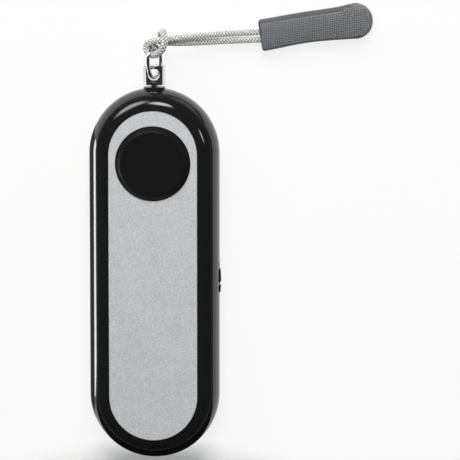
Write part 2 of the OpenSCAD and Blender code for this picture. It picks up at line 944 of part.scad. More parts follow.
// A leaf that is soldered to the board and bears on the pin's stem
module pin_leaf(foot_z, way) {
    arm_z = pin_z + way * (pin_d / 2 + snug);
    foot_y = [board_y1 - 1.8, board_y1 + slide];
    arm_y = [tip_y - 1, socket_y0 - 0.7];
    rise = [0, way * leaf_t];
    under = [[foot_y[0], foot_z], [foot_y[1], foot_z], [arm_y[0], arm_z], [arm_y[1], arm_z]];
    rotate([90, 0, 90])
        linear_extrude(leaf_w, center = true)
            polygon(concat(under, [for (i = [3:-1:0]) under[i] + rise]));
}

module pin_contacts() {
    color("#c9a24a") {
        pin_leaf(board_z, 1);
        pin_leaf(board_under, -1);
    }
}

module pull_pin() {
    chamfer = 0.15;
    tip_l = 1.2;
    detent = 0.2;
    detent_y = tip_y + 2.2;
    color("#d4d6d8") translate([0, 0, pin_z]) difference() {
        rotate([-90, 0, 0])
            rotate_extrude()
                polygon([
                    [0, tip_y], [pin_d / 4, tip_y], [pin_d / 2, tip_y + tip_l],
                    [pin_d / 2, detent_y], [pin_d / 2 - detent, detent_y + detent],
                    [pin_d / 2 - detent, detent_y + 3 * detent], [pin_d / 2, detent_y + 4 * detent],
                    [pin_d / 2, head_y], [head_d / 2 - chamfer, head_y], [head_d / 2, head_y + chamfer],
                    [head_d / 2, head_y + head_l - chamfer], [head_d / 2 - chamfer, head_y + head_l],
                    [0, head_y + head_l]
                ]);
        translate([0, eye_y, 0])
            pin_eye();
    }
}

// The cross hole through the pin's head, countersunk at both ends
module pin_eye() {
    sink_z = head_d / 2 - eye_sink;
    out_z = head_d / 2 + eye_sink;
    out_r = eye_d / 2 + out_z - sink_z;
    rotate_extrude()
        polygon([
            [0, -out_z], [out_r, -out_z], [eye_d / 2, -sink_z],
            [eye_d / 2, sink_z], [out_r, out_z], [0, out_z]
        ]);
}

// Ring, cord and tab

module jump_ring() {
    color("#d4d6d8") translate([0, ring_y, pin_z])
        rotate([0, 90 - ring_tilt, 0])
            rotate_extrude()
                translate([ring_d / 2, 0])
                    circle(d = ring_wire);
}

module pull_cord() {
    line = smooth(cord_route, cord_steps);
    echo(least_cord_gap = least_gap(line, cord_d, 3 * cord_d));
    color("#c3c4bd") translate(cord_shift)
        tube(line, cord_d, cord_sides);
}

// Half width of the tab at x from the mouth, before its round end
function tab_half(x) =
    let (s = x / (tab_l - tab_flare / 2))
    tab_w / 2 + (tab_flare - tab_w) / 2 * pow(s, 5) - 4 * tab_waist * s * (1 - s);

// How far the tab's middle line bows to one side at x
function tab_mid(x) = tab_bow * pow(sin(min(180, 194 * x / (tab_l - tab_flare / 2))), 2);

// The tab's outline, drawn in by inset: along one side, round the end and back
function tab_outline(inset, z) =
    let (end_x = tab_l - tab_flare / 2, end_r = tab_flare / 2 - inset, n = 12, m = 16)
    let (side = [for (i = [0:n - 1]) let (x = i / n * end_x) [x, tab_half(x) - inset]])
    concat(
        [for (p = side) [max(p[0], inset), tab_mid(p[0]) - p[1], z]],
        [for (k = [0:m]) let (a = 180 * k / m - 90) [end_x + end_r * cos(a), end_r * sin(a), z]],
        [for (i = [n - 1:-1:0]) let (p = side[i]) [max(p[0], inset), tab_mid(p[0]) + p[1], z]]
    );

module pull_tab() {
    bends = [[0, 0.8], [0.1, 0.45], [0.32, 0.18], [0.8, 0]];
    layers = concat(
        [for (b = bends) tab_outline(b[1], b[0])],
        [for (i = [len(bends) - 1:-1:0]) tab_outline(bends[i][1], tab_t - bends[i][0])]
    );
    color("#6b7078") translate([tab_mouth[0], tab_mouth[1], 0])
        rotate([0, 0, tab_turn])
            difference() {
                loft(layers);
                for (s = [-1, 1])
                    translate([-1, s * strand_gap / 2, tab_mouth[2]])
                        rotate([0, 90, 0])
                            cylinder(h = mouth_l + 1, d = mouth_d);
                translate([-1, -strand_gap / 2, tab_mouth[2] - mouth_d / 2])
                    cube([mouth_l + 1, strand_gap, mouth_d]);
            }
}

front_shell();
rear_shell();
face_plate();
push_button();
button_spring();
push_switch();
switch_plunger();
circuit_board();
sounder_cup();
piezo_disc();
control_chip();
step_up_coil();
capacitor();
slide_switch();
slide_lever();
side_knob();
left_cell();
right_cell();
battery_terminals();
bridge_contact();
battery_springs();
battery_door();
case_screws();
pin_socket();
pin_contacts();
pull_pin();
jump_ring();
pull_cord();
pull_tab();
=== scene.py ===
"""Looks of a personal safety alarm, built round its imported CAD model.

The alarm lies on its flat back, with +Z out of its face and +Y towards the pull pin. Sizes are
written in millimetres, as in the part's source, and become metres when a mesh is finished.
"""

from __future__ import annotations

import json
import logging
import math
from collections.abc import Callable, Sequence
from dataclasses import dataclass
from enum import Enum

import bmesh
import bpy
from mathutils import Matrix, Vector
from mathutils.kdtree import KDTree

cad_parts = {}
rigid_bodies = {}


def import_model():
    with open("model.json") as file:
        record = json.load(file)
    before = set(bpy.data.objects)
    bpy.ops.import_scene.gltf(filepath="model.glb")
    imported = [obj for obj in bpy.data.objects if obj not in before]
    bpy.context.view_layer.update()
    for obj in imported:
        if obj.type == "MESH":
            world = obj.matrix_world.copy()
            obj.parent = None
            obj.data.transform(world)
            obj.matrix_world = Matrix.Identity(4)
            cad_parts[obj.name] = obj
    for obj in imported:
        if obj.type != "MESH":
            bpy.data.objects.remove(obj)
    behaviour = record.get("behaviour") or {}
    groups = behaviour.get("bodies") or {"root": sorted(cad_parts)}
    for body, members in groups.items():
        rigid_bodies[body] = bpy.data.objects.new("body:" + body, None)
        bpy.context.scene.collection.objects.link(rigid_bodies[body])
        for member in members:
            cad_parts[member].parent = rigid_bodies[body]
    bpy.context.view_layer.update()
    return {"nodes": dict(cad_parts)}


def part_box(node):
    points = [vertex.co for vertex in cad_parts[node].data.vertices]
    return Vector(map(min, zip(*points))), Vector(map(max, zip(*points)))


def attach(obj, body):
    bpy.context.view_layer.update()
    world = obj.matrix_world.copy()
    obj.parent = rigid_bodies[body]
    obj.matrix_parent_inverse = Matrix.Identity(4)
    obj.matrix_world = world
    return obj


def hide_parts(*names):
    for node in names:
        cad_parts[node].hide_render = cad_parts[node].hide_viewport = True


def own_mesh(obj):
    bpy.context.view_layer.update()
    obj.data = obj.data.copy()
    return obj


LOG = logging.getLogger("alarm")

MM = 0.001
TOUCH = 1e-3
FULL_TURN = 2 * math.pi
SHARP_ANGLE = math.radians(32)
WIRE_ANGLE = math.radians(75)
# Point attribute of painted shade: 0 in the hollows, fully shaded, 1 on the crests.
SHADE_MARK = "relief"

MIX_SHARE = 0
MIX_FIRST = 6
MIX_SECOND = 7
MIX_RESULT = 2

Flat = tuple[float, float]
Point = tuple[float, float, float]
Colour = tuple[float, float, float]
Socket = bpy.types.NodeSocket


class Body(Enum):
    """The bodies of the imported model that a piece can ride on."""

    HOUSING = "housing"
    BUTTON = "button"
    SIDE_SWITCH = "side_switch"
    DOOR = "door"
    PIN = "pin"
    PULL = "pull"


class Way(Enum):
    """The axis that a turned profile goes round."""

    UP = "up"
    ALONG = "along"


class NodeSheet:
    """A material's node tree, with short calls for the nodes that the finishes share."""

    def __init__(self, name: str) -> None:
        """Starts a tree with a Principled shader and an Object coordinate."""
        self.material = bpy.data.materials.new(name)
        self.material.use_nodes = True
        self.tree = self.material.node_tree
        self.tree.nodes.clear()
        self.shader = self.node("ShaderNodeBsdfPrincipled")
        output = self.node("ShaderNodeOutputMaterial")
        self.link(self.shader.outputs["BSDF"], output.inputs["Surface"])
        self.coords = self.node("ShaderNodeTexCoord").outputs["Object"]

    def node(self, kind: str, **settings: object) -> bpy.types.Node:
        """Adds a node.

        Args:
            kind: Blender's name of the node type.
            settings: Properties of the node to set.

        Returns:
            The new node.
        """
        made = self.tree.nodes.new(kind)
        for key, value in settings.items():
            setattr(made, key, value)
        return made

    def link(self, source: Socket, target: Socket) -> None:
        """Joins an output to an input."""
        self.tree.links.new(source, target)

    def stretched(self, scale: Point, turn: Point = (0.0, 0.0, 0.0)) -> Socket:
        """The Object coordinate, scaled and turned.

        Args:
            scale: Factor along each axis.
            turn: Turn about each axis, in radians.

        Returns:
            The mapped vector.
        """
        mapping = self.node("ShaderNodeMapping")
        self.link(self.coords, mapping.inputs["Vector"])
        mapping.inputs["Scale"].default_value = scale
        mapping.inputs["Rotation"].default_value = turn
        return mapping.outputs["Vector"]

    def noise(self, size: float, detail: float = 2.0, vector: Socket | None = None) -> Socket:
        """A noise texture.

        Args:
            size: Size of its features in millimetres.
            detail: Octaves of finer noise.
            vector: Where it is read, the Object coordinate if left out.

        Returns:
            The noise, from 0 to 1.
        """
        made = self.node("ShaderNodeTexNoise")
        self.link(vector or self.coords, made.inputs["Vector"])
        made.inputs["Scale"].default_value = 1 / (size * MM)
        made.inputs["Detail"].default_value = detail
        return made.outputs[0]

    def cells(self, size: float) -> Socket:
        """Small cells of random colour, as metal flakes in a lacquer have.

        Args:
            size: Size of a cell in millimetres.

        Returns:
            One random number for each cell.
        """
        made = self.node("ShaderNodeTexVoronoi")
        self.link(self.coords, made.inputs["Vector"])
        made.inputs["Scale"].default_value = 1 / (size * MM)
        apart = self.node("ShaderNodeSeparateColor")
        self.link(made.outputs["Color"], apart.inputs["Color"])
        return apart.outputs[0]

    def ranged(
        self, value: Socket, low: float, high: float, start: float = 0.3, end: float = 0.7
    ) -> Socket:
        """Spreads part of a value's range over another range.

        Args:
            value: What to spread.
            low: Result at start and below.
            high: Result at end and above.
            start: Value that gives low.
            end: Value that gives high.

        Returns:
            The spread value.
        """
        made = self.node("ShaderNodeMapRange")
        self.link(value, made.inputs["Value"])
        for name, number in (("From Min", start), ("From Max", end), ("To Min", low), ("To Max", high)):
            made.inputs[name].default_value = number
        return made.outputs["Result"]

    def blended(self, share: Socket, first: Colour, second: Colour | Socket) -> Socket:
        """Mixes two colours.

        Args:
            share: 0 for the first colour, 1 for the second.
            first: First colour.
            second: Second colour.

        Returns:
            The mixed colour.
        """
        made = self.node("ShaderNodeMix", data_type="RGBA")
        self.link(share, made.inputs[MIX_SHARE])
        made.inputs[MIX_FIRST].default_value = (*first, 1)
        if isinstance(second, bpy.types.NodeSocket):
            self.link(second, made.inputs[MIX_SECOND])
        else:
            made.inputs[MIX_SECOND].default_value = (*second, 1)
        return made.outputs[MIX_RESULT]

    def maths(self, operation: str, first: Socket, second: Socket) -> Socket:
        """Combines two values by one of Blender's maths operations."""
        made = self.node("ShaderNodeMath", operation=operation)
        self.link(first, made.inputs[0])
        self.link(second, made.inputs[1])
        return made.outputs[0]

    def relief(self, height: Socket, depth: float) -> None:
        """Gives the surface a bump.

        Args:
            height: Height from 0 to 1.
            depth: Height of the whole range in millimetres.
        """
        made = self.node("ShaderNodeBump")
        made.inputs["Distance"].default_value = depth * MM
        made.inputs["Strength"].default_value = 1.0
        self.link(height, made.inputs["Height"])
        self.link(made.outputs["Normal"], self.shader.inputs["Normal"])


def toned(colour: Colour, factor: float) -> Colour:
    """A colour made lighter or darker by a factor."""
    return tuple(min(1.0, part * factor) for part in colour)


@dataclass(frozen=True)
class Finish:
    """A finish whose tone, polish and grain drift a little over the surface.

    Sizes are in millimetres.
    """

    name: str
    colour: Colour
    roughness: float
    metallic: float = 0.0
    ior: float = 1.5
    tone: float = 0.1
    tone_size: float = 3.0
    polish: float = 0.2
    polish_size: float = 1.2
    grain: float = 0.002
    grain_size: float = 0.25

    def material(self) -> bpy.types.Material:
        """The finish as a material, made once."""
        made = bpy.data.materials.get(f"{self.name}_finish")
        return made or self.make()

    def make(self) -> bpy.types.Material:
        """Builds the material's nodes.

        Returns:
            The new material.
        """
        sheet = NodeSheet(f"{self.name}_finish")
        inputs = sheet.shader.inputs
        inputs["Metallic"].default_value = self.metallic
        inputs["IOR"].default_value = self.ior
        self.dress(sheet)
        return sheet.material

    def dress(self, sheet: NodeSheet) -> None:
        """Sets colour, roughness and relief."""
        self.colour_over(sheet, sheet.noise(self.tone_size))
        self.polish_over(sheet, sheet.noise(self.polish_size, 3.0))
        sheet.relief(sheet.noise(self.grain_size, 1.0), self.grain)

    def colour_over(self, sheet: NodeSheet, share: Socket) -> None:
        """Lets the colour drift about its tone by a pattern."""
        mixed = sheet.blended(share, toned(self.colour, 1 - self.tone), toned(self.colour, 1 + self.tone))
        sheet.link(mixed, sheet.shader.inputs["Base Color"])

    def polish_over(self, sheet: NodeSheet, share: Socket) -> None:
        """Lets the roughness drift by a pattern."""
        low, high = self.roughness * (1 - self.polish), self.roughness * (1 + self.polish)
        sheet.link(sheet.ranged(share, low, high), sheet.shader.inputs["Roughness"])


@dataclass(frozen=True)
class GlossMoulding(Finish):
    """Polished moulded plastic, with faint wipe marks and a soft waviness."""

    wipe_stretch: Point = (1.0, 0.06, 1.0)

    def dress(self, sheet: NodeSheet) -> None:
        """Sets the gloss, its wipe marks and the waviness of the moulding."""
        self.colour_over(sheet, sheet.noise(self.tone_size))
        wipes = sheet.noise(self.polish_size, 4.0, sheet.stretched(self.wipe_stretch))
        self.polish_over(sheet, wipes)
        sheet.relief(sheet.noise(self.grain_size, 0.0), self.grain)


@dataclass(frozen=True)
class FlakeLacquer(Finish):
    """Silver lacquer: fine bright flakes in a satin coat."""

    flake: float = 0.16
    flake_size: float = 0.13

    def dress(self, sheet: NodeSheet) -> None:
        """Sets the flakes, the satin and the spray's fine texture."""
        flakes = sheet.ranged(sheet.cells(self.flake_size), 1 - self.flake, 1 + self.flake, 0.0, 1.0)
        drift = sheet.ranged(sheet.noise(self.tone_size), 1 - self.tone, 1 + self.tone)
        level = sheet.maths("MULTIPLY", flakes, drift)
        tinted = sheet.node("ShaderNodeMix", data_type="RGBA", blend_type="MULTIPLY")
        tinted.inputs[MIX_SHARE].default_value = 1.0
        tinted.inputs[MIX_FIRST].default_value = (*self.colour, 1)
        sheet.link(level, tinted.inputs[MIX_SECOND])
        sheet.link(tinted.outputs[MIX_RESULT], sheet.shader.inputs["Base Color"])
        self.polish_over(sheet, sheet.noise(self.polish_size, 3.0))
        sheet.relief(sheet.noise(self.grain_size, 2.0), self.grain)


@dataclass(frozen=True)
class DrawnMetal(Finish):
    """Metal with fine marks drawn along one direction."""

    draw: Point = (1.0, 0.05, 1.0)

    def dress(self, sheet: NodeSheet) -> None:
        """Sets the metal's tone and its drawn marks."""
        self.colour_over(sheet, sheet.noise(self.tone_size))
        marks = sheet.noise(self.polish_size, 4.0, sheet.stretched(self.draw))
        self.polish_over(sheet, marks)
        sheet.relief(marks, self.grain)


@dataclass(frozen=True)
class HollowShadeColour(Finish):
    """A finish that darkens in the hollows of a modelled relief.

    The mesh carries a painted shade mark as a point attribute, 0 in the hollows and 1 on the crests; the
    hollow colour stands in for shade, not for a colour of the material.
    """

    hollow_shade: Colour = (0.1, 0.1, 0.1)

    def dress(self, sheet: NodeSheet) -> None:
        """Sets the painted shade of the hollows, the drift of the crests' colour and the fine grain."""
        drift = sheet.noise(self.tone_size)
        crest = sheet.blended(drift, toned(self.colour, 1 - self.tone), toned(self.colour, 1 + self.tone))
        height = sheet.node("ShaderNodeAttribute", attribute_name=SHADE_MARK).outputs["Fac"]
        sheet.link(sheet.blended(height, self.hollow_shade, crest), sheet.shader.inputs["Base Color"])
        self.polish_over(sheet, sheet.noise(self.polish_size, 3.0))
        sheet.relief(sheet.noise(self.grain_size, 1.0), self.grain)


@dataclass(frozen=True)
class BoardLacquer(Finish):
    """Green solder lacquer over copper tracks."""

    track_colour: Colour = (0.03, 0.19, 0.09)
    track_size: float = 6.0
    track_gap: float = 0.06

    def dress(self, sheet: NodeSheet) -> None:
        """Sets the tracks that show through the lacquer."""
        bricks = sheet.node("ShaderNodeTexBrick")
        sheet.link(sheet.coords, bricks.inputs["Vector"])
        bricks.inputs["Scale"].default_value = 1 / (self.track_size * MM)
        bricks.inputs["Mortar Size"].default_value = self.track_gap
        tracks = bricks.outputs["Fac"]
        shown = sheet.blended(tracks, self.colour, self.track_colour)
        sheet.link(shown, sheet.shader.inputs["Base Color"])
        self.polish_over(sheet, sheet.noise(self.polish_size))
        sheet.relief(tracks, self.grain)


GLOSS_BLACK = GlossMoulding(
    "case_black", (0.0088, 0.009, 0.0096), 0.085, ior=1.6, tone=0.15, polish=0.3, polish_size=0.8,
    grain=0.0012, grain_size=2.4,
)
SATIN_BLACK = Finish(
    "button_black", (0.0088, 0.0088, 0.009), 0.24, ior=1.32, polish=0.12, grain=0.004, grain_size=0.16,
)
SILVER = FlakeLacquer(
    "plate_silver", (0.641, 0.653, 0.673), 0.42, metallic=0.15, tone=0.03, tone_size=9.0, polish=0.1,
    grain=0.003, grain_size=0.2, flake=0.18, flake_size=0.2,
)
BRIGHT_CUT = DrawnMetal(
    "plate_edge", (0.82, 0.82, 0.83), 0.16, metallic=1.0, tone=0.03, polish=0.3, polish_size=0.3,
    grain=0.0005,
)
CHROME = Finish(
    "pin_chrome", (0.76, 0.76, 0.77), 0.1, metallic=1.0, tone=0.03, polish=0.35, polish_size=0.5,
    grain=0.0008, grain_size=0.6,
)
# The cord's hollow colour is painted shade in the braid's gaps and on the yarns' sides.
CORD_YARN = HollowShadeColour(
    "cord_grey", (0.88, 0.885, 0.845), 0.72, tone=0.14, tone_size=0.5, polish=0.1, grain=0.03,
    grain_size=0.11, hollow_shade=(0.17, 0.17, 0.16),
)
# The tab's hollow colour is painted shade in the grooves between the raised squares.
TAB_RUBBER = HollowShadeColour(
    "tab_rubber", (0.247, 0.264, 0.283), 0.5, tone=0.1, tone_size=1.4, polish=0.12, grain=0.008,
    grain_size=0.14, hollow_shade=(0.022, 0.025, 0.029),
)
INNER_PLASTIC = Finish("inner_plastic", (0.026, 0.027, 0.029), 0.5, grain=0.006, grain_size=0.2)
PLUNGER_RED = Finish("plunger_red", (0.36, 0.045, 0.025), 0.42, grain=0.003)
BOARD_GREEN = BoardLacquer("board_green", (0.012, 0.105, 0.042), 0.3, grain=0.03)
BRASS = DrawnMetal("brass_sheet", (0.72, 0.53, 0.22), 0.3, metallic=1.0, polish=0.3, polish_size=0.4)
COPPER = Finish("coil_copper", (0.6, 0.24, 0.09), 0.28, metallic=1.0, tone=0.15, tone_size=0.8)
ALUMINIUM = DrawnMetal("can_aluminium", (0.68, 0.69, 0.7), 0.34, metallic=1.0, polish=0.25, polish_size=0.5)
STEEL = DrawnMetal("plated_steel", (0.62, 0.61, 0.58), 0.3, metallic=1.0, polish=0.3, polish_size=0.5)
CELL_SLEEVE = GlossMoulding("cell_jacket", (0.02, 0.024, 0.03), 0.24, grain=0.003, grain_size=1.5)
CELL_BAND = DrawnMetal("cell_band", (0.62, 0.33, 0.12), 0.26, metallic=0.8, polish_size=0.5)

KEPT_NODES: dict[str, Finish] = {
    "rear_shell": GLOSS_BLACK,
    "battery_door": GLOSS_BLACK,
    "pin_socket": SATIN_BLACK,
    "side_knob": SATIN_BLACK,
    "case_screws": STEEL,
    "circuit_board": BOARD_GREEN,
    "control_chip": INNER_PLASTIC,
    "capacitor": ALUMINIUM,
    "sounder_cup": INNER_PLASTIC,
    "piezo_disc": BRASS,
    "push_switch": INNER_PLASTIC,
    "switch_plunger": PLUNGER_RED,
    "slide_switch": STEEL,
    "slide_lever": INNER_PLASTIC,
    "battery_terminals": STEEL,
    "bridge_contact": STEEL,
    "pin_contacts": BRASS,
}


class Workpiece:
    """A mesh in the making, in millimetres, shaped by bmesh operators."""

    def __init__(self) -> None:
        """Starts an empty mesh."""
        self.bm = bmesh.new()

    def chain(self, points: Sequence[Point]) -> list[bmesh.types.BMEdge]:
        """Draws an open line of edges through some points."""
        verts = [self.bm.verts.new(point) for point in points]
        return [self.bm.edges.new(pair) for pair in zip(verts, verts[1:])]

    def face(self, points: Sequence[Point]) -> bmesh.types.BMFace:
        """Draws one face through some points."""
        return self.bm.faces.new([self.bm.verts.new(point) for point in points])

    @staticmethod
    def with_verts(edges: Sequence[bmesh.types.BMEdge]) -> list:
        """Some edges and their vertices, as the operators want them."""
        return list(edges) + list({vert for edge in edges for vert in edge.verts})

    def turn(self, profile: Sequence[Flat], centre: Point, way: Way, steps: int) -> Workpiece:
        """Turns a profile all the way round an axis.

        Args:
            profile: Pairs of radius and place along the axis, from one end to the other.
            centre: A point of the axis, from which places are counted.
            way: Direction of the axis.
            steps: Steps of the turn.

        Returns:
            This workpiece.
        """
        at = Vector(centre)
        upright = way is Way.UP
        line = [at + Vector((r, 0, h) if upright else (r, h, 0)) for r, h in profile]
        bmesh.ops.spin(
            self.bm, geom=self.with_verts(self.chain(line)), cent=at, steps=steps, angle=FULL_TURN,
            axis=(0, 0, 1) if upright else (0, 1, 0), use_merge=True,
        )
        return self.tidy()

    def carry_round(self, profile: Sequence[Flat], spine: float, steps: int, runs: int) -> Workpiece:
        """Carries a profile round both ends and along both sides of the case.

        Args:
            profile: Pairs of distance from the case's middle line and height.
            spine: Half the distance between the centres of the two round ends.
            steps: Steps round each end.
            runs: Steps along each side.

        Returns:
            This workpiece.
        """
        edges = self.chain([(r, spine, z) for r, z in profile])
        for end in (1, -1):
            swung = bmesh.ops.spin(
                self.bm, geom=self.with_verts(edges), cent=(0, end * spine, 0), axis=(0, 0, 1),
                angle=math.pi, steps=steps,
            )
            edges = [part for part in swung["geom_last"] if isinstance(part, bmesh.types.BMEdge)]
            for _ in range(runs):
                drawn = bmesh.ops.extrude_edge_only(self.bm, edges=edges)["geom"]
                moved = [part for part in drawn if isinstance(part, bmesh.types.BMVert)]
                bmesh.ops.translate(self.bm, verts=moved, vec=(0, -end * 2 * spine / runs, 0))
                edges = [part for part in drawn if isinstance(part, bmesh.types.BMEdge)]
                edges = [edge for edge in edges if all(vert in set(moved) for vert in edge.verts)]
        return self.tidy()

    def brick(self, low: Point, high: Point) -> Workpiece:
        """Adds a block between two corners.

        Args:
            low: Lowest corner.
            high: Highest corner.

        Returns:
            This workpiece.
        """
        size = Vector(high) - Vector(low)
        place = Matrix.Translation((Vector(high) + Vector(low)) / 2) @ Matrix.Diagonal((*size, 1))
        bmesh.ops.create_cube(self.bm, size=1, matrix=place)
        return self

    def bar(self, diameter: float, start: Point, end: Point, sides: int = 48) -> Workpiece:
        """Adds a round bar between two points.

        Args:
            diameter: Its diameter.
            start: Centre of one end.
            end: Centre of the other end.
            sides: Sides of the bar.

        Returns:
            This workpiece.
        """
        run = Vector(end) - Vector(start)
        turned = Vector((0, 0, 1)).rotation_difference(run).to_matrix().to_4x4()
        place = Matrix.Translation((Vector(start) + Vector(end)) / 2) @ turned
        bmesh.ops.create_cone(
            self.bm, cap_ends=True, segments=sides, radius1=diameter / 2, radius2=diameter / 2,
            depth=run.length, matrix=place,
        )
        return self

    def round_off(
        self, edges: Sequence[bmesh.types.BMEdge], width: float, segments: int
    ) -> list[bmesh.types.BMFace]:
        """Rounds some edges, or chamfers them.

        Args:
            edges: The edges.
            width: How far each side is drawn back.
            segments: Steps of the rounding, 1 for a flat chamfer.

        Returns:
            The new faces.
        """
        return bmesh.ops.bevel(
            self.bm, geom=self.with_verts(edges), offset=width, offset_type="OFFSET", segments=segments,
            profile=0.5, affect="EDGES", clamp_overlap=True, material=-1,
        )["faces"]

    def tidy(self) -> Workpiece:
        """Merges doubled points and turns the faces outwards."""
        bmesh.ops.remove_doubles(self.bm, verts=self.bm.verts, dist=TOUCH)
        bmesh.ops.recalc_face_normals(self.bm, faces=self.bm.faces)
        return self

    def blank(self, name: str) -> bpy.types.Object:
        """The mesh as an object, still in millimetres.

        Args:
            name: Name of the object and its mesh.

        Returns:
            The object, in the scene.
        """
        mesh = bpy.data.meshes.new(name)
        self.bm.to_mesh(mesh)
        self.bm.free()
        made = bpy.data.objects.new(name, mesh)
        bpy.context.scene.collection.objects.link(made)
        return made


def combine(
    blank: bpy.types.Object, other: Workpiece, operation: str = "DIFFERENCE"
) -> bpy.types.Object:
    """Cuts a workpiece out of a blank, or joins it on.

    Args:
        blank: The object that changes.
        other: What is cut away or joined on.
        operation: Name of the boolean operation.

    Returns:
        The blank.
    """
    tool = other.blank("tool")
    step = blank.modifiers.new("combine", "BOOLEAN")
    step.operation = operation
    step.solver = "EXACT"
    step.use_self = True
    step.object = tool
    view = bpy.context.evaluated_depsgraph_get()
    mesh = bpy.data.meshes.new_from_object(blank.evaluated_get(view))
    blank.modifiers.clear()
    worn = blank.data
    blank.data = mesh
    bpy.data.meshes.remove(worn)
    bpy.data.meshes.remove(tool.data)
    return blank


def settle(
    piece: bpy.types.Object, finish: Finish, body: Body, nodes: Sequence[str], even: bool = False,
    crease: float = SHARP_ANGLE,
) -> None:
    """Turns a blank into a finished piece, in metres, that rides on the frame.

    Args:
        piece: The blank, in millimetres.
        finish: Its finish.
        body: The body that it rides on.
        nodes: The CAD nodes that it stands for.
        even: Whether flat faces hold their shading against the rounded edges beside them.
        crease: Angle between faces from which an edge shows as sharp.
    """
    mesh = piece.data
    mesh.transform(Matrix.Scale(MM, 4))
    mesh.shade_smooth()
    mesh.set_sharp_from_angle(angle=crease)
    if not mesh.materials:
        mesh.materials.append(finish.material())
    if even:
        weighted = piece.modifiers.new("even_shading", "WEIGHTED_NORMAL")
        weighted.keep_sharp = True
    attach(piece, body.value)
    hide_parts(*nodes)
    LOG.info("%s: %d faces, rides on %s", piece.name, len(mesh.polygons), body.value)


def mark_hollow_shade(piece: bpy.types.Object, height: Callable[[Vector], float]) -> None:
    """Writes each point's height in the relief to an attribute, from 0 to 1, which the finish turns into
    painted shade in the hollows.

    Args:
        piece: The blank, in millimetres.
        height: Gives the height of a point.
    """
    mesh = piece.data
    marks = mesh.attributes.new(SHADE_MARK, "FLOAT", "POINT")
    for mark, vert in zip(marks.data, mesh.vertices):
        mark.value = max(0.0, min(1.0, height(vert.co)))


def arc(centre: Flat, radius: float, start: float, end: float, steps: int) -> list[Flat]:
    """Points of an arc.

    Args:
        centre: Centre of the arc.
        radius: Its radius.
        start: First angle, in degrees.
        end: Last angle, in degrees.
        steps: Steps between them.

    Returns:
        The points, both ends included.
    """
    angles = [math.radians(start + (end - start) * i / steps) for i in range(steps + 1)]
    return [(centre[0] + radius * math.cos(a), centre[1] + radius * math.sin(a)) for a in angles]


def eased(corners: Sequence[Flat], radii: dict[int, float], steps: int = 4) -> list[Flat]:
    """Rounds chosen corners of an open line.

    Args:
        corners: Points of the line.
        radii: Radius for each corner to round, by its index.
        steps: Steps of each rounding.

    Returns:
        The line with its rounded corners.
    """
    line: list[Flat] = []
    for i, corner in enumerate(corners):
        if i not in radii:
            line.append(corner)
            continue
        here, back, on = Vector(corner), Vector(corners[i - 1]), Vector(corners[i + 1])
        first, last = (back - here).normalized(), (on - here).normalized()
        half = first.angle(last) / 2
        reach = radii[i] / math.tan(half)
        middle = here + (first + last).normalized() * (radii[i] / math.sin(half))
        start = here + first * reach - middle
        end = here + last * reach - middle
        for k in range(steps + 1):
            line.append(tuple(middle + start.slerp(end, k / steps) * radii[i]))
    return line


def smooth_route(points: Sequence[Point], steps: int) -> list[Vector]:
    """A smooth curve through all the points of a route.

    Args:
        points: The route.
        steps: Steps between neighbouring points.

    Returns:
        Points of the curve.
    """
    p = [Vector(point) for point in points]
    p = [2 * p[0] - p[1], *p, 2 * p[-1] - p[-2]]
    line = []
    for a, b, c, d in zip(p, p[1:], p[2:], p[3:]):
        square = 2 * a - 5 * b + 4 * c - d
        cube = 3 * b - a - 3 * c + d
        for k in range(steps):
            t = k / steps
            line.append((2 * b + (c - a) * t + square * t**2 + cube * t**3) / 2)
    return [*line, p[-2]]


def evenly(line: Sequence[Vector], step: float) -> list[Vector]:
    """Points along a line at even distances.

    Args:
        line: The line's own points.
        step: Distance between the new points, about.

    Returns:
        The new points, both ends included.
    """
    along = [0.0]
    for a, b in zip(line, line[1:]):
        along.append(along[-1] + (b - a).length)
    count = max(1, round(along[-1] / step))
    spread = []
    i = 0
    for k in range(count + 1):
        goal = along[-1] * k / count
        while i < len(line) - 2 and along[i + 1] < goal:
            i += 1
        spread.append(line[i].lerp(line[i + 1], (goal - along[i]) / (along[i + 1] - along[i])))
    return spread


def wire_blank(
    name: str, lines: Sequence[Sequence[Vector]], radii: Sequence[float], fineness: int
) -> bpy.types.Object:
    """Round wires or yarns along some lines, as one blank.

    Args:
        name: Name of the object.
        lines: Points of each wire.
        radii: Radius of each wire.
        fineness: Bevel resolution of the round sections.

    Returns:
        The blank, in millimetres.
    """
    curve = bpy.data.curves.new(name, "CURVE")
    curve.dimensions = "3D"
    curve.bevel_depth = 1.0
    curve.bevel_resolution = fineness
    curve.use_fill_caps = True
    for line, radius in zip(lines, radii):
        spline = curve.splines.new("POLY")
        spline.points.add(len(line) - 1)
        for place, point in zip(spline.points, line):
            place.co = (*point, 1)
            place.radius = radius
    drawn = bpy.data.objects.new(name, curve)
    tubes = bpy.data.meshes.new_from_object(drawn)
    work = Workpiece()
    work.bm.from_mesh(tubes)
    bpy.data.curves.remove(curve)
    bpy.data.meshes.remove(tubes)
    return work.tidy().blank(name)


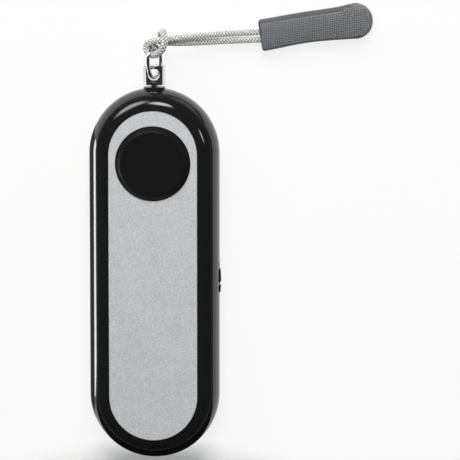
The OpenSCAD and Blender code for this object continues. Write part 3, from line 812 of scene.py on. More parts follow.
@dataclass(frozen=True)
class Case:
    """The case and its face: front shell, face plate and push button."""

    length: float = 108.8
    width: float = 38.0
    edge_r: float = 8.0
    band: float = 1.0
    wall: float = 1.8
    seam: float = 0.3
    seam_round: float = 0.1
    tongue_in: float = 0.05
    tongue_out: float = 0.75
    tongue_h: float = 1.0
    plate_w: float = 25.7
    plate_t: float = 0.9
    plate_proud: float = 0.1
    plate_edge: float = 0.24
    plate_gap: float = 0.1
    shelf_t: float = 1.5
    shelf_in: float = 11.6
    lip_round: float = 0.16
    button_d: float = 21.4
    button_gap: float = 0.25
    button_from_end: float = 21.4
    button_proud: float = 1.2
    button_dish: float = 0.3
    button_travel: float = 1.2
    crest_r: float = 9.2
    crest_round: float = 0.4
    shoulder_fall: float = 43.0
    brim_round: float = 0.2
    cap_t: float = 1.85
    skirt_t: float = 1.5
    flange_gap: float = 0.3
    flange_w: float = 1.2
    flange_t: float = 1.0
    post_r: float = 2.6
    post_z: float = 12.9
    spring_r: float = 6.6
    spring_wire: float = 0.7
    spring_turns: float = 4.5
    pin_way_d: float = 6.4
    pin_way_y: float = 46.5
    knob_way_x: float = 15.7
    knob_way_y: Flat = (-5.5, 3.5)
    knob_way_h: float = 3.0
    boss_d: float = 5.0
    pilot_d: float = 2.3
    pilot_top: float = 12.3
    boss_places: tuple[Flat, ...] = ((11.8, 8.6), (9.8, 44.6))
    stop_x: float = 5.45
    stop_y: Flat = (47.58, 49.78)
    overlap: float = 0.2
    end_steps: int = 72
    side_steps: int = 12
    hole_steps: int = 96

    @property
    def end_r(self) -> float:
        """Radius of the round ends."""
        return self.width / 2

    @property
    def spine(self) -> float:
        """Half the distance between the centres of the round ends."""
        return (self.length - self.width) / 2

    @property
    def arc_in(self) -> float:
        """Distance of the rounded edge's centre from the middle line."""
        return self.end_r - self.edge_r

    @property
    def arc_z(self) -> float:
        """Height of the front edge's centre."""
        return self.edge_r + self.band

    @property
    def seam_z(self) -> float:
        """Height of the parting line."""
        return self.edge_r + self.band / 2

    @property
    def recess_r(self) -> float:
        """Half width of the plate's recess."""
        return self.plate_w / 2 + self.plate_gap

    @property
    def lip_z(self) -> float:
        """Height of the case beside the plate."""
        return self.arc_z + math.sqrt(self.edge_r**2 - (self.recess_r - self.arc_in) ** 2)

    @property
    def recess_z(self) -> float:
        """Height of the recess's floor."""
        return self.lip_z + self.plate_proud - self.plate_t

    @property
    def plate_z(self) -> float:
        """Height of the plate's face."""
        return self.recess_z + self.plate_t

    @property
    def shelf_z(self) -> float:
        """Height of the underside of the shelf that carries the plate."""
        return self.recess_z - self.shelf_t

    @property
    def button_y(self) -> float:
        """Place of the button along the case."""
        return self.length / 2 - self.button_from_end

    def shell_profile(self) -> list[Flat]:
        """The front shell's section, from the shelf's underside round to its top.

        Returns:
            Pairs of distance from the middle line and height.
        """
        rise = math.degrees(math.acos((self.recess_r - self.arc_in) / self.edge_r))
        inner_r = self.edge_r - self.wall
        inner_rise = math.degrees(math.asin((self.shelf_z - self.arc_z) / inner_r))
        middle = (self.arc_in, self.arc_z)
        wall_in, wall_out = self.end_r - self.wall, self.end_r
        step = wall_out - self.seam
        seam_top = self.seam_z + self.seam / 2
        inside = [(self.shelf_in, self.shelf_z), *arc(middle, inner_r, inner_rise, 0, 12)]
        near, far, tip = wall_in + self.tongue_in, wall_in + self.tongue_out, self.seam_z - self.tongue_h
        tongue = [(wall_in, self.seam_z), (near, self.seam_z), (near, tip), (far, tip), (far, self.seam_z)]
        edge = [(step, self.seam_z), (step, seam_top), (wall_out, seam_top), (wall_out, self.arc_z)]
        outside = arc(middle, self.edge_r, 0, rise, 32)
        recess = [(self.recess_r, self.recess_z), (self.shelf_in, self.recess_z)]
        corners = [*inside, *tongue, *edge, *outside[1:], *recess]
        lip = len(corners) - len(recess) - 1
        seam_corner = len(inside) + len(tongue) + 2
        return eased(corners, {seam_corner: self.seam_round, lip: self.lip_round})

    def inner_ribs(self) -> Workpiece:
        """The screw bosses and the pin's stop inside the front shell.

        Returns:
            Their blocks, which reach a little into the shell.
        """
        ribs = Workpiece()
        top = self.shelf_z + self.overlap
        pilot, out = self.pilot_d / 2, self.boss_d / 2
        boss = [
            (0, self.pilot_top), (pilot, self.pilot_top), (pilot, self.seam_z), (out, self.seam_z),
            (out, top), (0, top),
        ]
        for x, y in self.boss_places:
            for side in (-1, 1):
                ribs.turn(boss, (side * x, y, 0), Way.UP, 40)
        ribs.brick((-self.stop_x, self.stop_y[0], self.seam_z), (self.stop_x, self.stop_y[1], top))
        return ribs

    def build_shell(self) -> None:
        """Models the front shell."""
        work = Workpiece().carry_round(self.shell_profile(), self.spine, self.end_steps, self.side_steps)
        open_edges = [edge for edge in work.bm.edges if edge.is_boundary]
        bmesh.ops.edgeloop_fill(work.bm, edges=open_edges)
        work.tidy()
        shell = work.blank("case_front")
        combine(shell, self.inner_ribs(), "UNION")
        tools = Workpiece()
        tools.bar(
            self.button_d + 2 * self.button_gap, (0, self.button_y, self.shelf_z - 1),
            (0, self.button_y, self.lip_z + 1), self.hole_steps,
        )
        tools.bar(self.pin_way_d, (0, self.pin_way_y, self.seam_z), (0, self.length, self.seam_z), 64)
        (start, end), half = self.knob_way_y, self.knob_way_h / 2
        tools.brick(
            (self.knob_way_x, start, self.seam_z - half), (self.end_r + 1, end, self.seam_z + half)
        )
        combine(shell, tools)
        settle(shell, GLOSS_BLACK, Body.HOUSING, ["front_shell"], even=True)

    def build_plate(self) -> None:
        """Models the silver face plate with its eased edges."""
        work = Workpiece()
        bm = work.bm
        half = self.plate_w / 2
        for end in (1, -1):
            start = bm.verts.new((end * half, end * self.spine, self.recess_z))
            bmesh.ops.spin(
                bm, geom=[start], cent=(0, end * self.spine, 0), axis=(0, 0, 1), angle=math.pi,
                steps=self.end_steps,
            )
        for side in (1, -1):
            ends = [vert for vert in bm.verts if abs(vert.co.x - side * half) < TOUCH]
            bm.edges.new(ends)
        hole_r = self.button_d / 2 + self.button_gap
        bmesh.ops.create_circle(
            bm, segments=self.hole_steps, radius=hole_r,
            matrix=Matrix.Translation((0, self.button_y, self.recess_z)),
        )
        sheet = bmesh.ops.triangle_fill(bm, use_beauty=True, edges=bm.edges[:], normal=(0, 0, 1))
        faces = [part for part in sheet["geom"] if isinstance(part, bmesh.types.BMFace)]
        lifted = bmesh.ops.extrude_face_region(bm, geom=faces)["geom"]
        top = [part for part in lifted if isinstance(part, bmesh.types.BMVert)]
        bmesh.ops.translate(bm, verts=top, vec=(0, 0, self.plate_t))
        work.tidy()
        rims = [
            edge for edge in bm.edges
            if all(vert.co.z > self.plate_z - TOUCH for vert in edge.verts)
            and edge.calc_face_angle(0) > SHARP_ANGLE
        ]
        cut = work.round_off(rims, self.plate_edge, 1)
        for face in cut:
            face.material_index = 1
        plate = work.tidy().blank("plate_silvered")
        for finish in (SILVER, BRIGHT_CUT):
            plate.data.materials.append(finish.material())
        settle(plate, SILVER, Body.HOUSING, ["face_plate"], even=True)

    def button_profile(self) -> list[Flat]:
        """The push button's section: a shallow dish, a crisp crest, a falling shoulder and a skirt.

        Returns:
            Pairs of radius and height, from the middle of the dish to the foot of the post.
        """
        top = self.plate_z + self.button_proud
        out = self.button_d / 2
        fall = self.shoulder_fall
        dish = [
            (self.crest_r * k / 10, top - self.button_dish * (1 - (k / 10) ** 2)) for k in range(10)
        ]
        hub = (self.crest_r, top - self.crest_round)
        crest = arc(hub, self.crest_round, 92, 90 - fall, 8)
        start = crest[-1]
        brim = (out, start[1] - (out - start[0]) * math.tan(math.radians(fall)))
        shoulder = eased([start, brim, (out, brim[1] - 1)], {1: self.brim_round}, 6)[1:-1]
        flange_top = self.shelf_z - self.flange_gap
        foot, under = flange_top - self.flange_t, top - self.cap_t
        flange_r, inner_r = out + self.flange_w, out - self.skirt_t
        skirt = [
            (out, flange_top), (flange_r, flange_top), (flange_r, foot), (inner_r, foot),
            (inner_r, under), (self.post_r, under), (self.post_r, self.post_z), (0, self.post_z),
        ]
        return [*dish, *crest, *shoulder, *skirt]

    def build_button(self) -> None:
        """Models the push button."""
        work = Workpiece().turn(self.button_profile(), (0, self.button_y, 0), Way.UP, 120)
        settle(work.blank("thumb_button"), SATIN_BLACK, Body.BUTTON, ["push_button"])

    def build_return_spring(self) -> None:
        """Winds the button's return spring."""
        low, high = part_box("button_spring")
        radius, half = self.spring_r, self.spring_wire / 2
        start, end = low.z / MM + half, high.z / MM - half
        line = coil((0, self.button_y), radius, radius, start, end, self.spring_turns)
        spring = wire_blank("return_spring", [line], [half], 3)
        settle(spring, STEEL, Body.BUTTON, ["button_spring"], crease=WIRE_ANGLE)
        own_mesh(spring)

    def build(self) -> None:
        """Models the shell, the plate and the button."""
        self.build_shell()
        self.build_plate()
        self.build_button()
        self.build_return_spring()


def coil(centre: Flat, r0: float, r1: float, z0: float, z1: float, turns: float) -> list[Vector]:
    """Points of an upright coil.

    Args:
        centre: Its axis.
        r0: Radius at the start.
        r1: Radius at the end.
        z0: Height of the start.
        z1: Height of the end.
        turns: How many turns it has.

    Returns:
        The coil's points.
    """
    count = round(turns * 36)
    line = []
    for k in range(count + 1):
        t = k / count
        angle = FULL_TURN * turns * t
        radius = r0 + (r1 - r0) * t
        height = z0 + (z1 - z0) * t
        x, y = centre[0] + radius * math.cos(angle), centre[1] + radius * math.sin(angle)
        line.append(Vector((x, y, height)))
    return line


@dataclass(frozen=True)
class BatteryBay:
    """The two cells and the springs that press on them."""

    cell_d: float = 10.5
    cell_l: float = 44.5
    cell_x: float = 5.45
    cell_z: float = 7.35
    bay_y0: float = -47.3
    bay_y1: float = 1.8
    contact_t: float = 0.4
    spring_l: float = 3.8
    spring_wire: float = 0.7
    spring_r: Flat = (3.3, 2.2)
    spring_turns: float = 3.0
    spring_gap: float = 0.05
    nub_l: float = 1.2
    bare_r: float = 4.8
    band_l: float = 7.85
    choke_turns: int = 9
    choke_rim: float = 0.2
    choke_wire_r: float = 0.8
    choke_hub_r: float = 0.74

    def cell_profile(self) -> list[Flat]:
        """A cell's section from its flat end to its nub.

        Returns:
            Pairs of radius and place from the flat end.
        """
        out, long = self.cell_d / 2, self.cell_l
        shoulder = long - self.nub_l
        corners = [
            (0, 0.12), (3.9, 0.12), (4.1, 0), (4.75, 0), (4.85, 0.25), (out, 0.35), (out, 36.6), (out, 36.7),
            (out, shoulder - 0.35), (4.85, shoulder - 0.25), (4.75, shoulder), (4.2, shoulder - 0.15),
            (2.3, shoulder - 0.15), (1.9, shoulder + 0.1), (1.9, long), (0, long),
        ]
        return eased(corners, {5: 0.2, 8: 0.2, 14: 0.25})

    def build_cell(self, name: str, node: str, side: int) -> None:
        """Models one cell, with a steel end, a dark sleeve and a bright band at its nub.

        Args:
            name: Name of the piece.
            node: The CAD node that it stands for.
            side: -1 for the left cell, 1 for the right one, whose nub points the other way.
        """
        nub_y = self.bay_y1 - self.contact_t if side < 0 else self.bay_y0 + self.contact_t
        way = -side
        line = [(r, nub_y - way * (self.cell_l - along)) for r, along in self.cell_profile()]
        work = Workpiece().turn(line, (side * self.cell_x, 0, self.cell_z), Way.ALONG, 64)
        cell = work.blank(name)
        for finish in (CELL_SLEEVE, CELL_BAND, STEEL):
            cell.data.materials.append(finish.material())
        for face in cell.data.polygons:
            from_nub = abs(face.center.y - nub_y)
            radius = math.hypot(face.center.x - side * self.cell_x, face.center.z - self.cell_z)
            bare = radius < self.bare_r
            face.material_index = 2 if bare else int(from_nub < self.band_l)
        settle(cell, CELL_SLEEVE, Body.HOUSING, [node])

    def build_springs(self) -> None:
        """Winds the two cone springs that press on the cells."""
        half = self.spring_wire / 2
        first, last = half + self.spring_gap, self.spring_l - half - self.spring_gap
        upright = coil((0, 0), *self.spring_r, first, last, self.spring_turns)
        foot, head = self.bay_y0 + self.contact_t, self.bay_y1 - self.contact_t
        lines = []
        for side, start, way in ((-1, foot, 1), (1, head, -1)):
            x, z = side * self.cell_x, self.cell_z
            lines.append([Vector((x + p.x, start + way * p.z, z - way * p.y)) for p in upright])
        springs = wire_blank("cell_springs", lines, [half] * len(lines), 3)
        settle(springs, STEEL, Body.HOUSING, ["battery_springs"], crease=WIRE_ANGLE)

    def build_choke(self) -> None:
        """Winds the step-up coil on its bobbin."""
        low, high = (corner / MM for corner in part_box("step_up_coil"))
        middle = (low + high) / 2
        out, foot, head = (high.x - low.x) / 2, low.z, high.z
        rim = (head - foot) * self.choke_rim
        pitch = (head - foot - 2 * rim) / self.choke_turns
        hub_r = out * self.choke_hub_r
        turns: list[Flat] = []
        for k in range(self.choke_turns):
            wire = (out * self.choke_wire_r - pitch / 2, foot + rim + pitch * (k + 0.5))
            turns += arc(wire, pitch / 2, -80, 80, 6)
        profile = [
            (0, foot), (out, foot), (out, foot + rim), (hub_r, foot + rim), *turns,
            (hub_r, head - rim), (out, head - rim), (out, head), (0, head),
        ]
        work = Workpiece().turn(profile, (middle.x, middle.y, 0), Way.UP, 48)
        settle(work.blank("wound_choke"), COPPER, Body.HOUSING, ["step_up_coil"])

    def build(self) -> None:
        """Models the cells, their springs and the coil."""
        self.build_cell("cell_left", "left_cell", -1)
        self.build_cell("cell_right", "right_cell", 1)
        self.build_springs()
        self.build_choke()


@dataclass(frozen=True)
class PullPin:
    """The metal pin and the jump ring through its head."""

    pin_d: float = 2.5
    tip_y: float = 44.9
    tip_l: float = 1.2
    groove_y: float = 47.1
    groove_depth: float = 0.2
    groove_l: float = 0.8
    head_y: float = 55.35
    head_d: float = 6.6
    head_l: float = 5.65
    eye_y: float = 58.4
    eye_d: float = 3.4
    eye_sink: float = 0.6
    axis_z: float = 8.5
    ring_d: float = 9.2
    ring_wire: float = 1.1
    ring_tilt: float = 19.5
    ring_sag: float = 1.0

    def build_pin(self) -> None:
        """Turns the pin and drills the countersunk cross hole."""
        r, head = self.pin_d / 2, self.head_d / 2
        tip, end = self.tip_y, self.head_y + self.head_l
        start, stop = self.groove_y, self.groove_y + self.groove_l
        deep = self.groove_depth
        corners = [
            (0, tip), (r / 2, tip), (r, tip + self.tip_l), (r, start), (r - deep, start + deep),
            (r - deep, stop - deep), (r, stop), (r, self.head_y), (head, self.head_y), (head, end), (0, end),
        ]
        profile = eased(corners, {1: 0.2, 2: 0.4, 8: 0.18, 9: 0.18})
        pin = Workpiece().turn(profile, (0, 0, self.axis_z), Way.ALONG, 96).blank("pin_turned")
        flank, outside = head - self.eye_sink, head + self.eye_sink
        eye_r = self.eye_d / 2
        wide = eye_r + outside - flank
        eye = eased(
            [(0, -outside), (wide, -outside), (eye_r, -flank), (eye_r, flank), (wide, outside), (0, outside)],
            {2: 0.3, 3: 0.3},
        )
        drill = Workpiece().turn(eye, (0, self.eye_y, self.axis_z), Way.UP, 64)
        settle(combine(pin, drill), CHROME, Body.PIN, ["pull_pin"], even=True)

    def build_ring(self) -> None:
        """Bends the jump ring."""
        work = Workpiece()
        bm = work.bm
        stand = Matrix.Translation((self.ring_d / 2, 0, 0)) @ Matrix.Rotation(math.pi / 2, 4, "X")
        bmesh.ops.create_circle(bm, segments=20, radius=self.ring_wire / 2, matrix=stand)
        bmesh.ops.spin(
            bm, geom=bm.verts[:] + bm.edges[:], cent=(0, 0, 0), axis=(0, 0, 1), angle=FULL_TURN, steps=96,
            use_merge=True,
        )
        centre = (0, self.eye_y + self.ring_d / 2 - self.ring_sag, self.axis_z)
        lean = Matrix.Rotation(math.radians(90 - self.ring_tilt), 4, "Y")
        bmesh.ops.transform(bm, matrix=Matrix.Translation(centre) @ lean, verts=bm.verts)
        settle(work.tidy().blank("ring_bent"), CHROME, Body.PULL, ["jump_ring"])

    def build(self) -> None:
        """Models the pin and the ring."""
        self.build_pin()
        self.build_ring()


@dataclass(frozen=True)
class PullCord:
    """The braided cord, from the tab round the ring by a lark's head hitch and back."""

    diameter: float = 2.0
    carriers: int = 4
    lay: float = 3.6
    yarn_d: float = 0.56
    yarn_r: float = 0.6
    weave: float = 0.16
    core_r: float = 0.48
    # hollow_rise and crest_drop set where the painted shade of the braid's hollows fades out into the crests'
    # colour.
    hollow_rise: float = 0.12
    crest_drop: float = 0.06
    first_side: Point = (0.31, 0.27, 0.91)
    step: float = 0.12
    route: tuple[Point, ...] = (
        (33.2, 68.56, 2.6), (30.6, 68.16, 2.6), (27, 67.98, 2.7), (21, 67.76, 3.4), (14.16, 67.51, 5.37),
        (8.27, 67.39, 7.35), (4.3, 67.52, 8.35), (1.86, 67.95, 8.46), (0.06, 68.22, 8.22),
        (-1.13, 67.72, 7.95), (-1.5, 66.59, 7.8), (-0.96, 65.42, 7.76), (0.37, 64.81, 7.62),
        (1.88, 64.98, 7.1), (2.48, 66.08, 6.31), (1.96, 67.97, 5.99), (1.71, 69.81, 7.06),
        (2.12, 70.84, 9.18), (2.85, 70.75, 11.51), (3.36, 69.68, 13.23), (3.36, 68.03, 14),
        (2.77, 66.32, 13.86), (1.73, 64.95, 12.95), (0.55, 64.18, 11.67), (-0.57, 64.06, 10.6),
        (-1.62, 64.65, 10.05), (-2.24, 65.8, 9.99), (-2.05, 67, 10.33), (-1, 67.8, 10.81), (0.8, 68.31, 11),
        (3.8, 68.71, 10.49), (8.4, 69.11, 8.97), (14.27, 69.52, 6.62), (21, 69.9, 4.1), (27, 70.13, 2.8),
        (30.3, 70.34, 2.6), (32.9, 70.75, 2.6),
    )

    def centreline(self) -> list[Vector]:
        """The line down the middle of the cord, in even steps."""
        return evenly(smooth_route(self.route, 24), self.step)

    def yarns(self, line: Sequence[Vector]) -> list[list[Vector]]:
        """The braid's yarns, half of them each way round, one over and one under.

        Args:
            line: The cord's centreline.

        Returns:
            One line of points for each yarn.
        """
        steps = [(b - a).normalized() for a, b in zip(line, line[1:])]
        ways = [steps[0], *((a + b).normalized() for a, b in zip(steps, steps[1:])), steps[-1]]
        side = Vector(self.first_side)
        frames = []
        for way in ways:
            side = (side - way * side.dot(way)).normalized()
            frames.append((side, way.cross(side)))
        run = (line[1] - line[0]).length
        lines = []
        for hand in (1, -1):
            for k in range(self.carriers):
                yarn = []
                for i, (point, (across, up)) in enumerate(zip(line, frames)):
                    turn = run * i / self.lay
                    angle = FULL_TURN * (hand * turn + k / self.carriers)
                    crossing = 2 * self.carriers * turn
                    radius = self.yarn_r + hand * self.weave * math.cos(math.pi * crossing)
                    yarn.append(point + radius * (math.cos(angle) * across + math.sin(angle) * up))
                lines.append(yarn)
        return lines

    def build(self) -> None:
        """Braids the cord."""
        line = self.centreline()
        yarns = self.yarns(line)
        core = line[::3] + line[-1:]
        radii = [self.yarn_d / 2] * len(yarns) + [self.core_r]
        cord = wire_blank("cord_braided", [*yarns, core], radii, 1)
        spots = KDTree(len(line))
        for i, point in enumerate(line):
            spots.insert(point, i)
        spots.balance()
        # Painted shade: points near the centreline, up to low, are fully shaded, points out at high not at
        # all.
        low = self.yarn_r + self.hollow_rise
        high = self.yarn_r + self.weave + self.yarn_d / 2 - self.crest_drop
        mark_hollow_shade(cord, lambda place: (spots.find(place)[2] - low) / (high - low))
        settle(cord, CORD_YARN, Body.PULL, ["pull_cord"], crease=WIRE_ANGLE)


@dataclass(frozen=True)
class PullTab:
    """The moulded rubber tab with its grid of raised squares."""

    mouth: Point = (30.55, 69.23, 2.6)
    turn: float = 9.0
    length: float = 33.1
    width: float = 9.2
    flare: float = 10.3
    waist: float = 0.15
    bow: float = 0.36
    thick: float = 5.2
    edge: float = 0.6
    crown: float = 0.7
    corner: float = 0.8
    pitch: float = 0.645
    pad_gap: float = 0.15
    pad_h: float = 0.2
    least_pad: float = 0.45
    plain_side: float = 1.0
    # Painted shade: the plain band beside the squares and the rounded edges take only part of the crest
    # colour.
    band_shade: float = 0.24
    edge_shade: float = 0.55
    mouth_d: float = 2.3
    mouth_l: float = 2.6
    strand_gap: float = 2.2

    @property
    def end_x(self) -> float:
        """Where the round end begins."""
        return self.length - self.flare / 2

    def half(self, x: float) -> float:
        """Half width of the tab at a distance from its mouth."""
        share = max(0.0, min(1.0, x / self.end_x))
        flare = (self.flare - self.width) / 2 * share**5
        return self.width / 2 + flare - 4 * self.waist * share * (1 - share)

    def middle(self, x: float) -> float:
        """How far the tab's middle line bows to one side at a distance from its mouth."""
        angle = math.radians(max(0.0, min(180.0, 194 * x / self.end_x)))
        return self.bow * math.sin(angle) ** 2

    def outline(self) -> list[Flat]:
        """The tab's outline, along one side, round the end and back.

        Returns:
            Points of the closed outline, without a doubled end.
        """
        places = [self.end_x * k / 20 for k in range(20)]
        corners = [(0.0, 0.0), *((x, self.middle(x) - self.half(x)) for x in places)]
        corners += arc((self.end_x, 0), self.flare / 2, -90, 90, 28)
        corners += [*((x, self.middle(x) + self.half(x)) for x in reversed(places)), (0.0, 0.0)]
        line = eased(corners, {1: self.corner, len(corners) - 2: self.corner})
        return line[1:-1]

    def top_parts(self, bm: bmesh.types.BMesh, top: float) -> list:
        """The faces of the flat top with their edges and vertices.

        Args:
            bm: The tab's mesh.
            top: Height of the flat top.

        Returns:
            All of them in one list.
        """
        faces = [face for face in bm.faces if all(vert.co.z > top - TOUCH for vert in face.verts)]
        edges = {edge for face in faces for edge in face.edges}
        verts = {vert for face in faces for vert in face.verts}
        return [*faces, *edges, *verts]

    def score(self, work: Workpiece, top: float) -> None:
        """Divides the flat top by a grid of lines.

        Args:
            work: The tab.
            top: Height of the flat top.
        """
        columns = int(self.length / self.pitch)
        rows = int(self.flare / self.pitch / 2)
        lean = math.radians(self.turn)
        across = (math.cos(lean), -math.sin(lean), 0)
        cuts = [((k * self.pitch, 0, 0), across) for k in range(0, columns + 2)]
        cuts += [((0, (k + 0.5) * self.pitch, 0), (0, 1, 0)) for k in range(-rows - 1, rows + 1)]
        for place, normal in cuts:
            bmesh.ops.bisect_plane(
                work.bm, geom=self.top_parts(work.bm, top), dist=TOUCH, plane_co=place, plane_no=normal
            )

    def raise_pads(self, work: Workpiece, top: float) -> None:
        """Raises the squares of the grid, but for a plain band along one side.

        Args:
            work: The tab.
            top: Height of the flat top.
        """
        pads = []
        for part in self.top_parts(work.bm, top):
            if isinstance(part, bmesh.types.BMFace):
                middle = part.calc_center_median()
                inside = middle.y - self.middle(middle.x) < self.half(middle.x) - self.plain_side
                if inside and part.calc_area() > self.least_pad * self.pitch**2:
                    pads.append(part)
        bmesh.ops.inset_individual(work.bm, faces=pads, thickness=self.pad_gap, depth=self.pad_h)

    @staticmethod
    def among_pads(vert: bmesh.types.BMVert, top: float) -> bool:
        """Whether a point of the flat top lies in a groove, with raised squares all round it."""
        return all(face.calc_center_median().z > top + TOUCH for face in vert.link_faces)

    def tone(self, vert: bmesh.types.BMVert, top: float) -> float:
        """The painted shade mark of a point: grooves are darkest, the plain band and the edges are shaded
        part way, and the squares' tops lightest.

        Args:
            vert: A point of the tab, before the top is crowned.
            top: Height of the flat top.

        Returns:
            The mark, from 0 to 1.
        """
        if vert.co.z > top + TOUCH:
            return 1.0
        if vert.co.z > top - TOUCH and self.among_pads(vert, top):
            return 0.0
        beside_band = vert.co.y > 0 and vert.co.x < self.end_x
        return self.band_shade if beside_band else self.edge_shade

    def slit(self) -> Workpiece:
        """The flat mouth that the cord's two ends go into.

        Returns:
            What is cut out of the tab.
        """
        cut = Workpiece()
        reach, height = self.mouth_d / 2, self.mouth[2]
        half = self.strand_gap / 2
        cut.brick((-1, -half - reach, height - reach), (self.mouth_l, half + reach, height + reach))
        lengthwise = [edge for edge in cut.bm.edges if abs(edge.verts[0].co.x - edge.verts[1].co.x) > 1]
        cut.round_off(lengthwise, reach * 0.96, 8)
        return cut

    def build(self) -> None:
        """Models the tab."""
        work = Workpiece()
        bm = work.bm
        top = self.thick - self.pad_h
        foot = work.face([(x, y, 0) for x, y in self.outline()])
        lifted = bmesh.ops.extrude_face_region(bm, geom=[foot])["geom"]
        raised = [part for part in lifted if isinstance(part, bmesh.types.BMVert)]
        bmesh.ops.translate(bm, verts=raised, vec=(0, 0, top))
        bmesh.ops.recalc_face_normals(bm, faces=bm.faces)
        rims = [edge for edge in bm.edges if abs(edge.verts[0].co.z - edge.verts[1].co.z) < TOUCH]
        work.round_off(rims, self.edge, 4)
        tab = combine(work.blank("tab_moulded"), self.slit())
        work = Workpiece()
        bm = work.bm
        bm.from_mesh(tab.data)
        self.score(work, top)
        self.raise_pads(work, top)
        # Painted shade marks: dark grooves, and the plain band and edges darker than the squares' tops.
        marks = bm.verts.layers.float.new(SHADE_MARK)
        for vert in bm.verts:
            vert[marks] = self.tone(vert, top)
        for vert in bm.verts:
            if vert.co.z > top / 2:
                off = vert.co.y - self.middle(vert.co.x)
                vert.co.z -= self.crown * abs(off / self.half(vert.co.x)) ** 3
        bm.to_mesh(tab.data)
        bm.free()
        turned = Matrix.Rotation(math.radians(self.turn), 4, "Z")
        tab.data.transform(Matrix.Translation((*self.mouth[:2], 0)) @ turned)
        settle(tab, TAB_RUBBER, Body.PULL, ["pull_tab"])


@dataclass(frozen=True)
class Lamp:
    """A soft rectangular lamp, placed by its direction from the alarm.

    The azimuth is counted from +Y towards +X and the zenith angle from straight up, in degrees.
    """

    name: str
    azimuth: float
    zenith: float
    distance: float
    size: Flat
    power: float
    colour: Colour = (1.0, 1.0, 1.0)
    in_gloss: bool = True
    fade: float = 0.6
    peak: float = 1.5

    def build(self, aim: Vector) -> None:
        """Hangs the lamp.

        Args:
            aim: The point that it faces.
        """
        around, tip = math.radians(self.azimuth), math.radians(self.zenith)
        out = Vector((math.sin(tip) * math.sin(around), math.sin(tip) * math.cos(around), math.cos(tip)))
        light = bpy.data.lights.new(self.name, "AREA")
        light.shape = "RECTANGLE"
        light.size, light.size_y = self.size
        light.energy = self.power
        light.color = self.colour
        made = bpy.data.objects.new(self.name, light)
        made.location = aim + out * self.distance
        made.rotation_euler = (-out).to_track_quat("-Z", "Y").to_euler()
        made.visible_camera = False
        made.visible_glossy = self.in_gloss
        if self.in_gloss:
            self.soften(light)
        bpy.context.scene.collection.objects.link(made)

    def soften(self, light: bpy.types.AreaLight) -> None:
        """Lets the lamp's face fade towards its edges, as a softbox does.

        Args:
            light: The lamp's light.
        """
        light.use_nodes = True
        tree = light.node_tree
        face = tree.nodes.new("ShaderNodeNewGeometry")
        centred = tree.nodes.new("ShaderNodeMapping")
        centred.inputs["Location"].default_value = (-1, -1, 0)
        centred.inputs["Scale"].default_value = (2, 2, 0)
        tree.links.new(face.outputs["Parametric"], centred.inputs["Vector"])
        fade = tree.nodes.new("ShaderNodeTexGradient")
        fade.gradient_type = "SPHERICAL"
        tree.links.new(centred.outputs["Vector"], fade.inputs["Vector"])
        level = tree.nodes.new("ShaderNodeMapRange")
        level.interpolation_type = "SMOOTHSTEP"
        tree.links.new(fade.outputs["Fac"], level.inputs["Value"])
        level.inputs["From Max"].default_value = self.fade
        level.inputs["To Max"].default_value = self.peak
        glow = next(node for node in tree.nodes if node.bl_idname == "ShaderNodeEmission")
        tree.links.new(level.outputs["Result"], glow.inputs["Strength"])


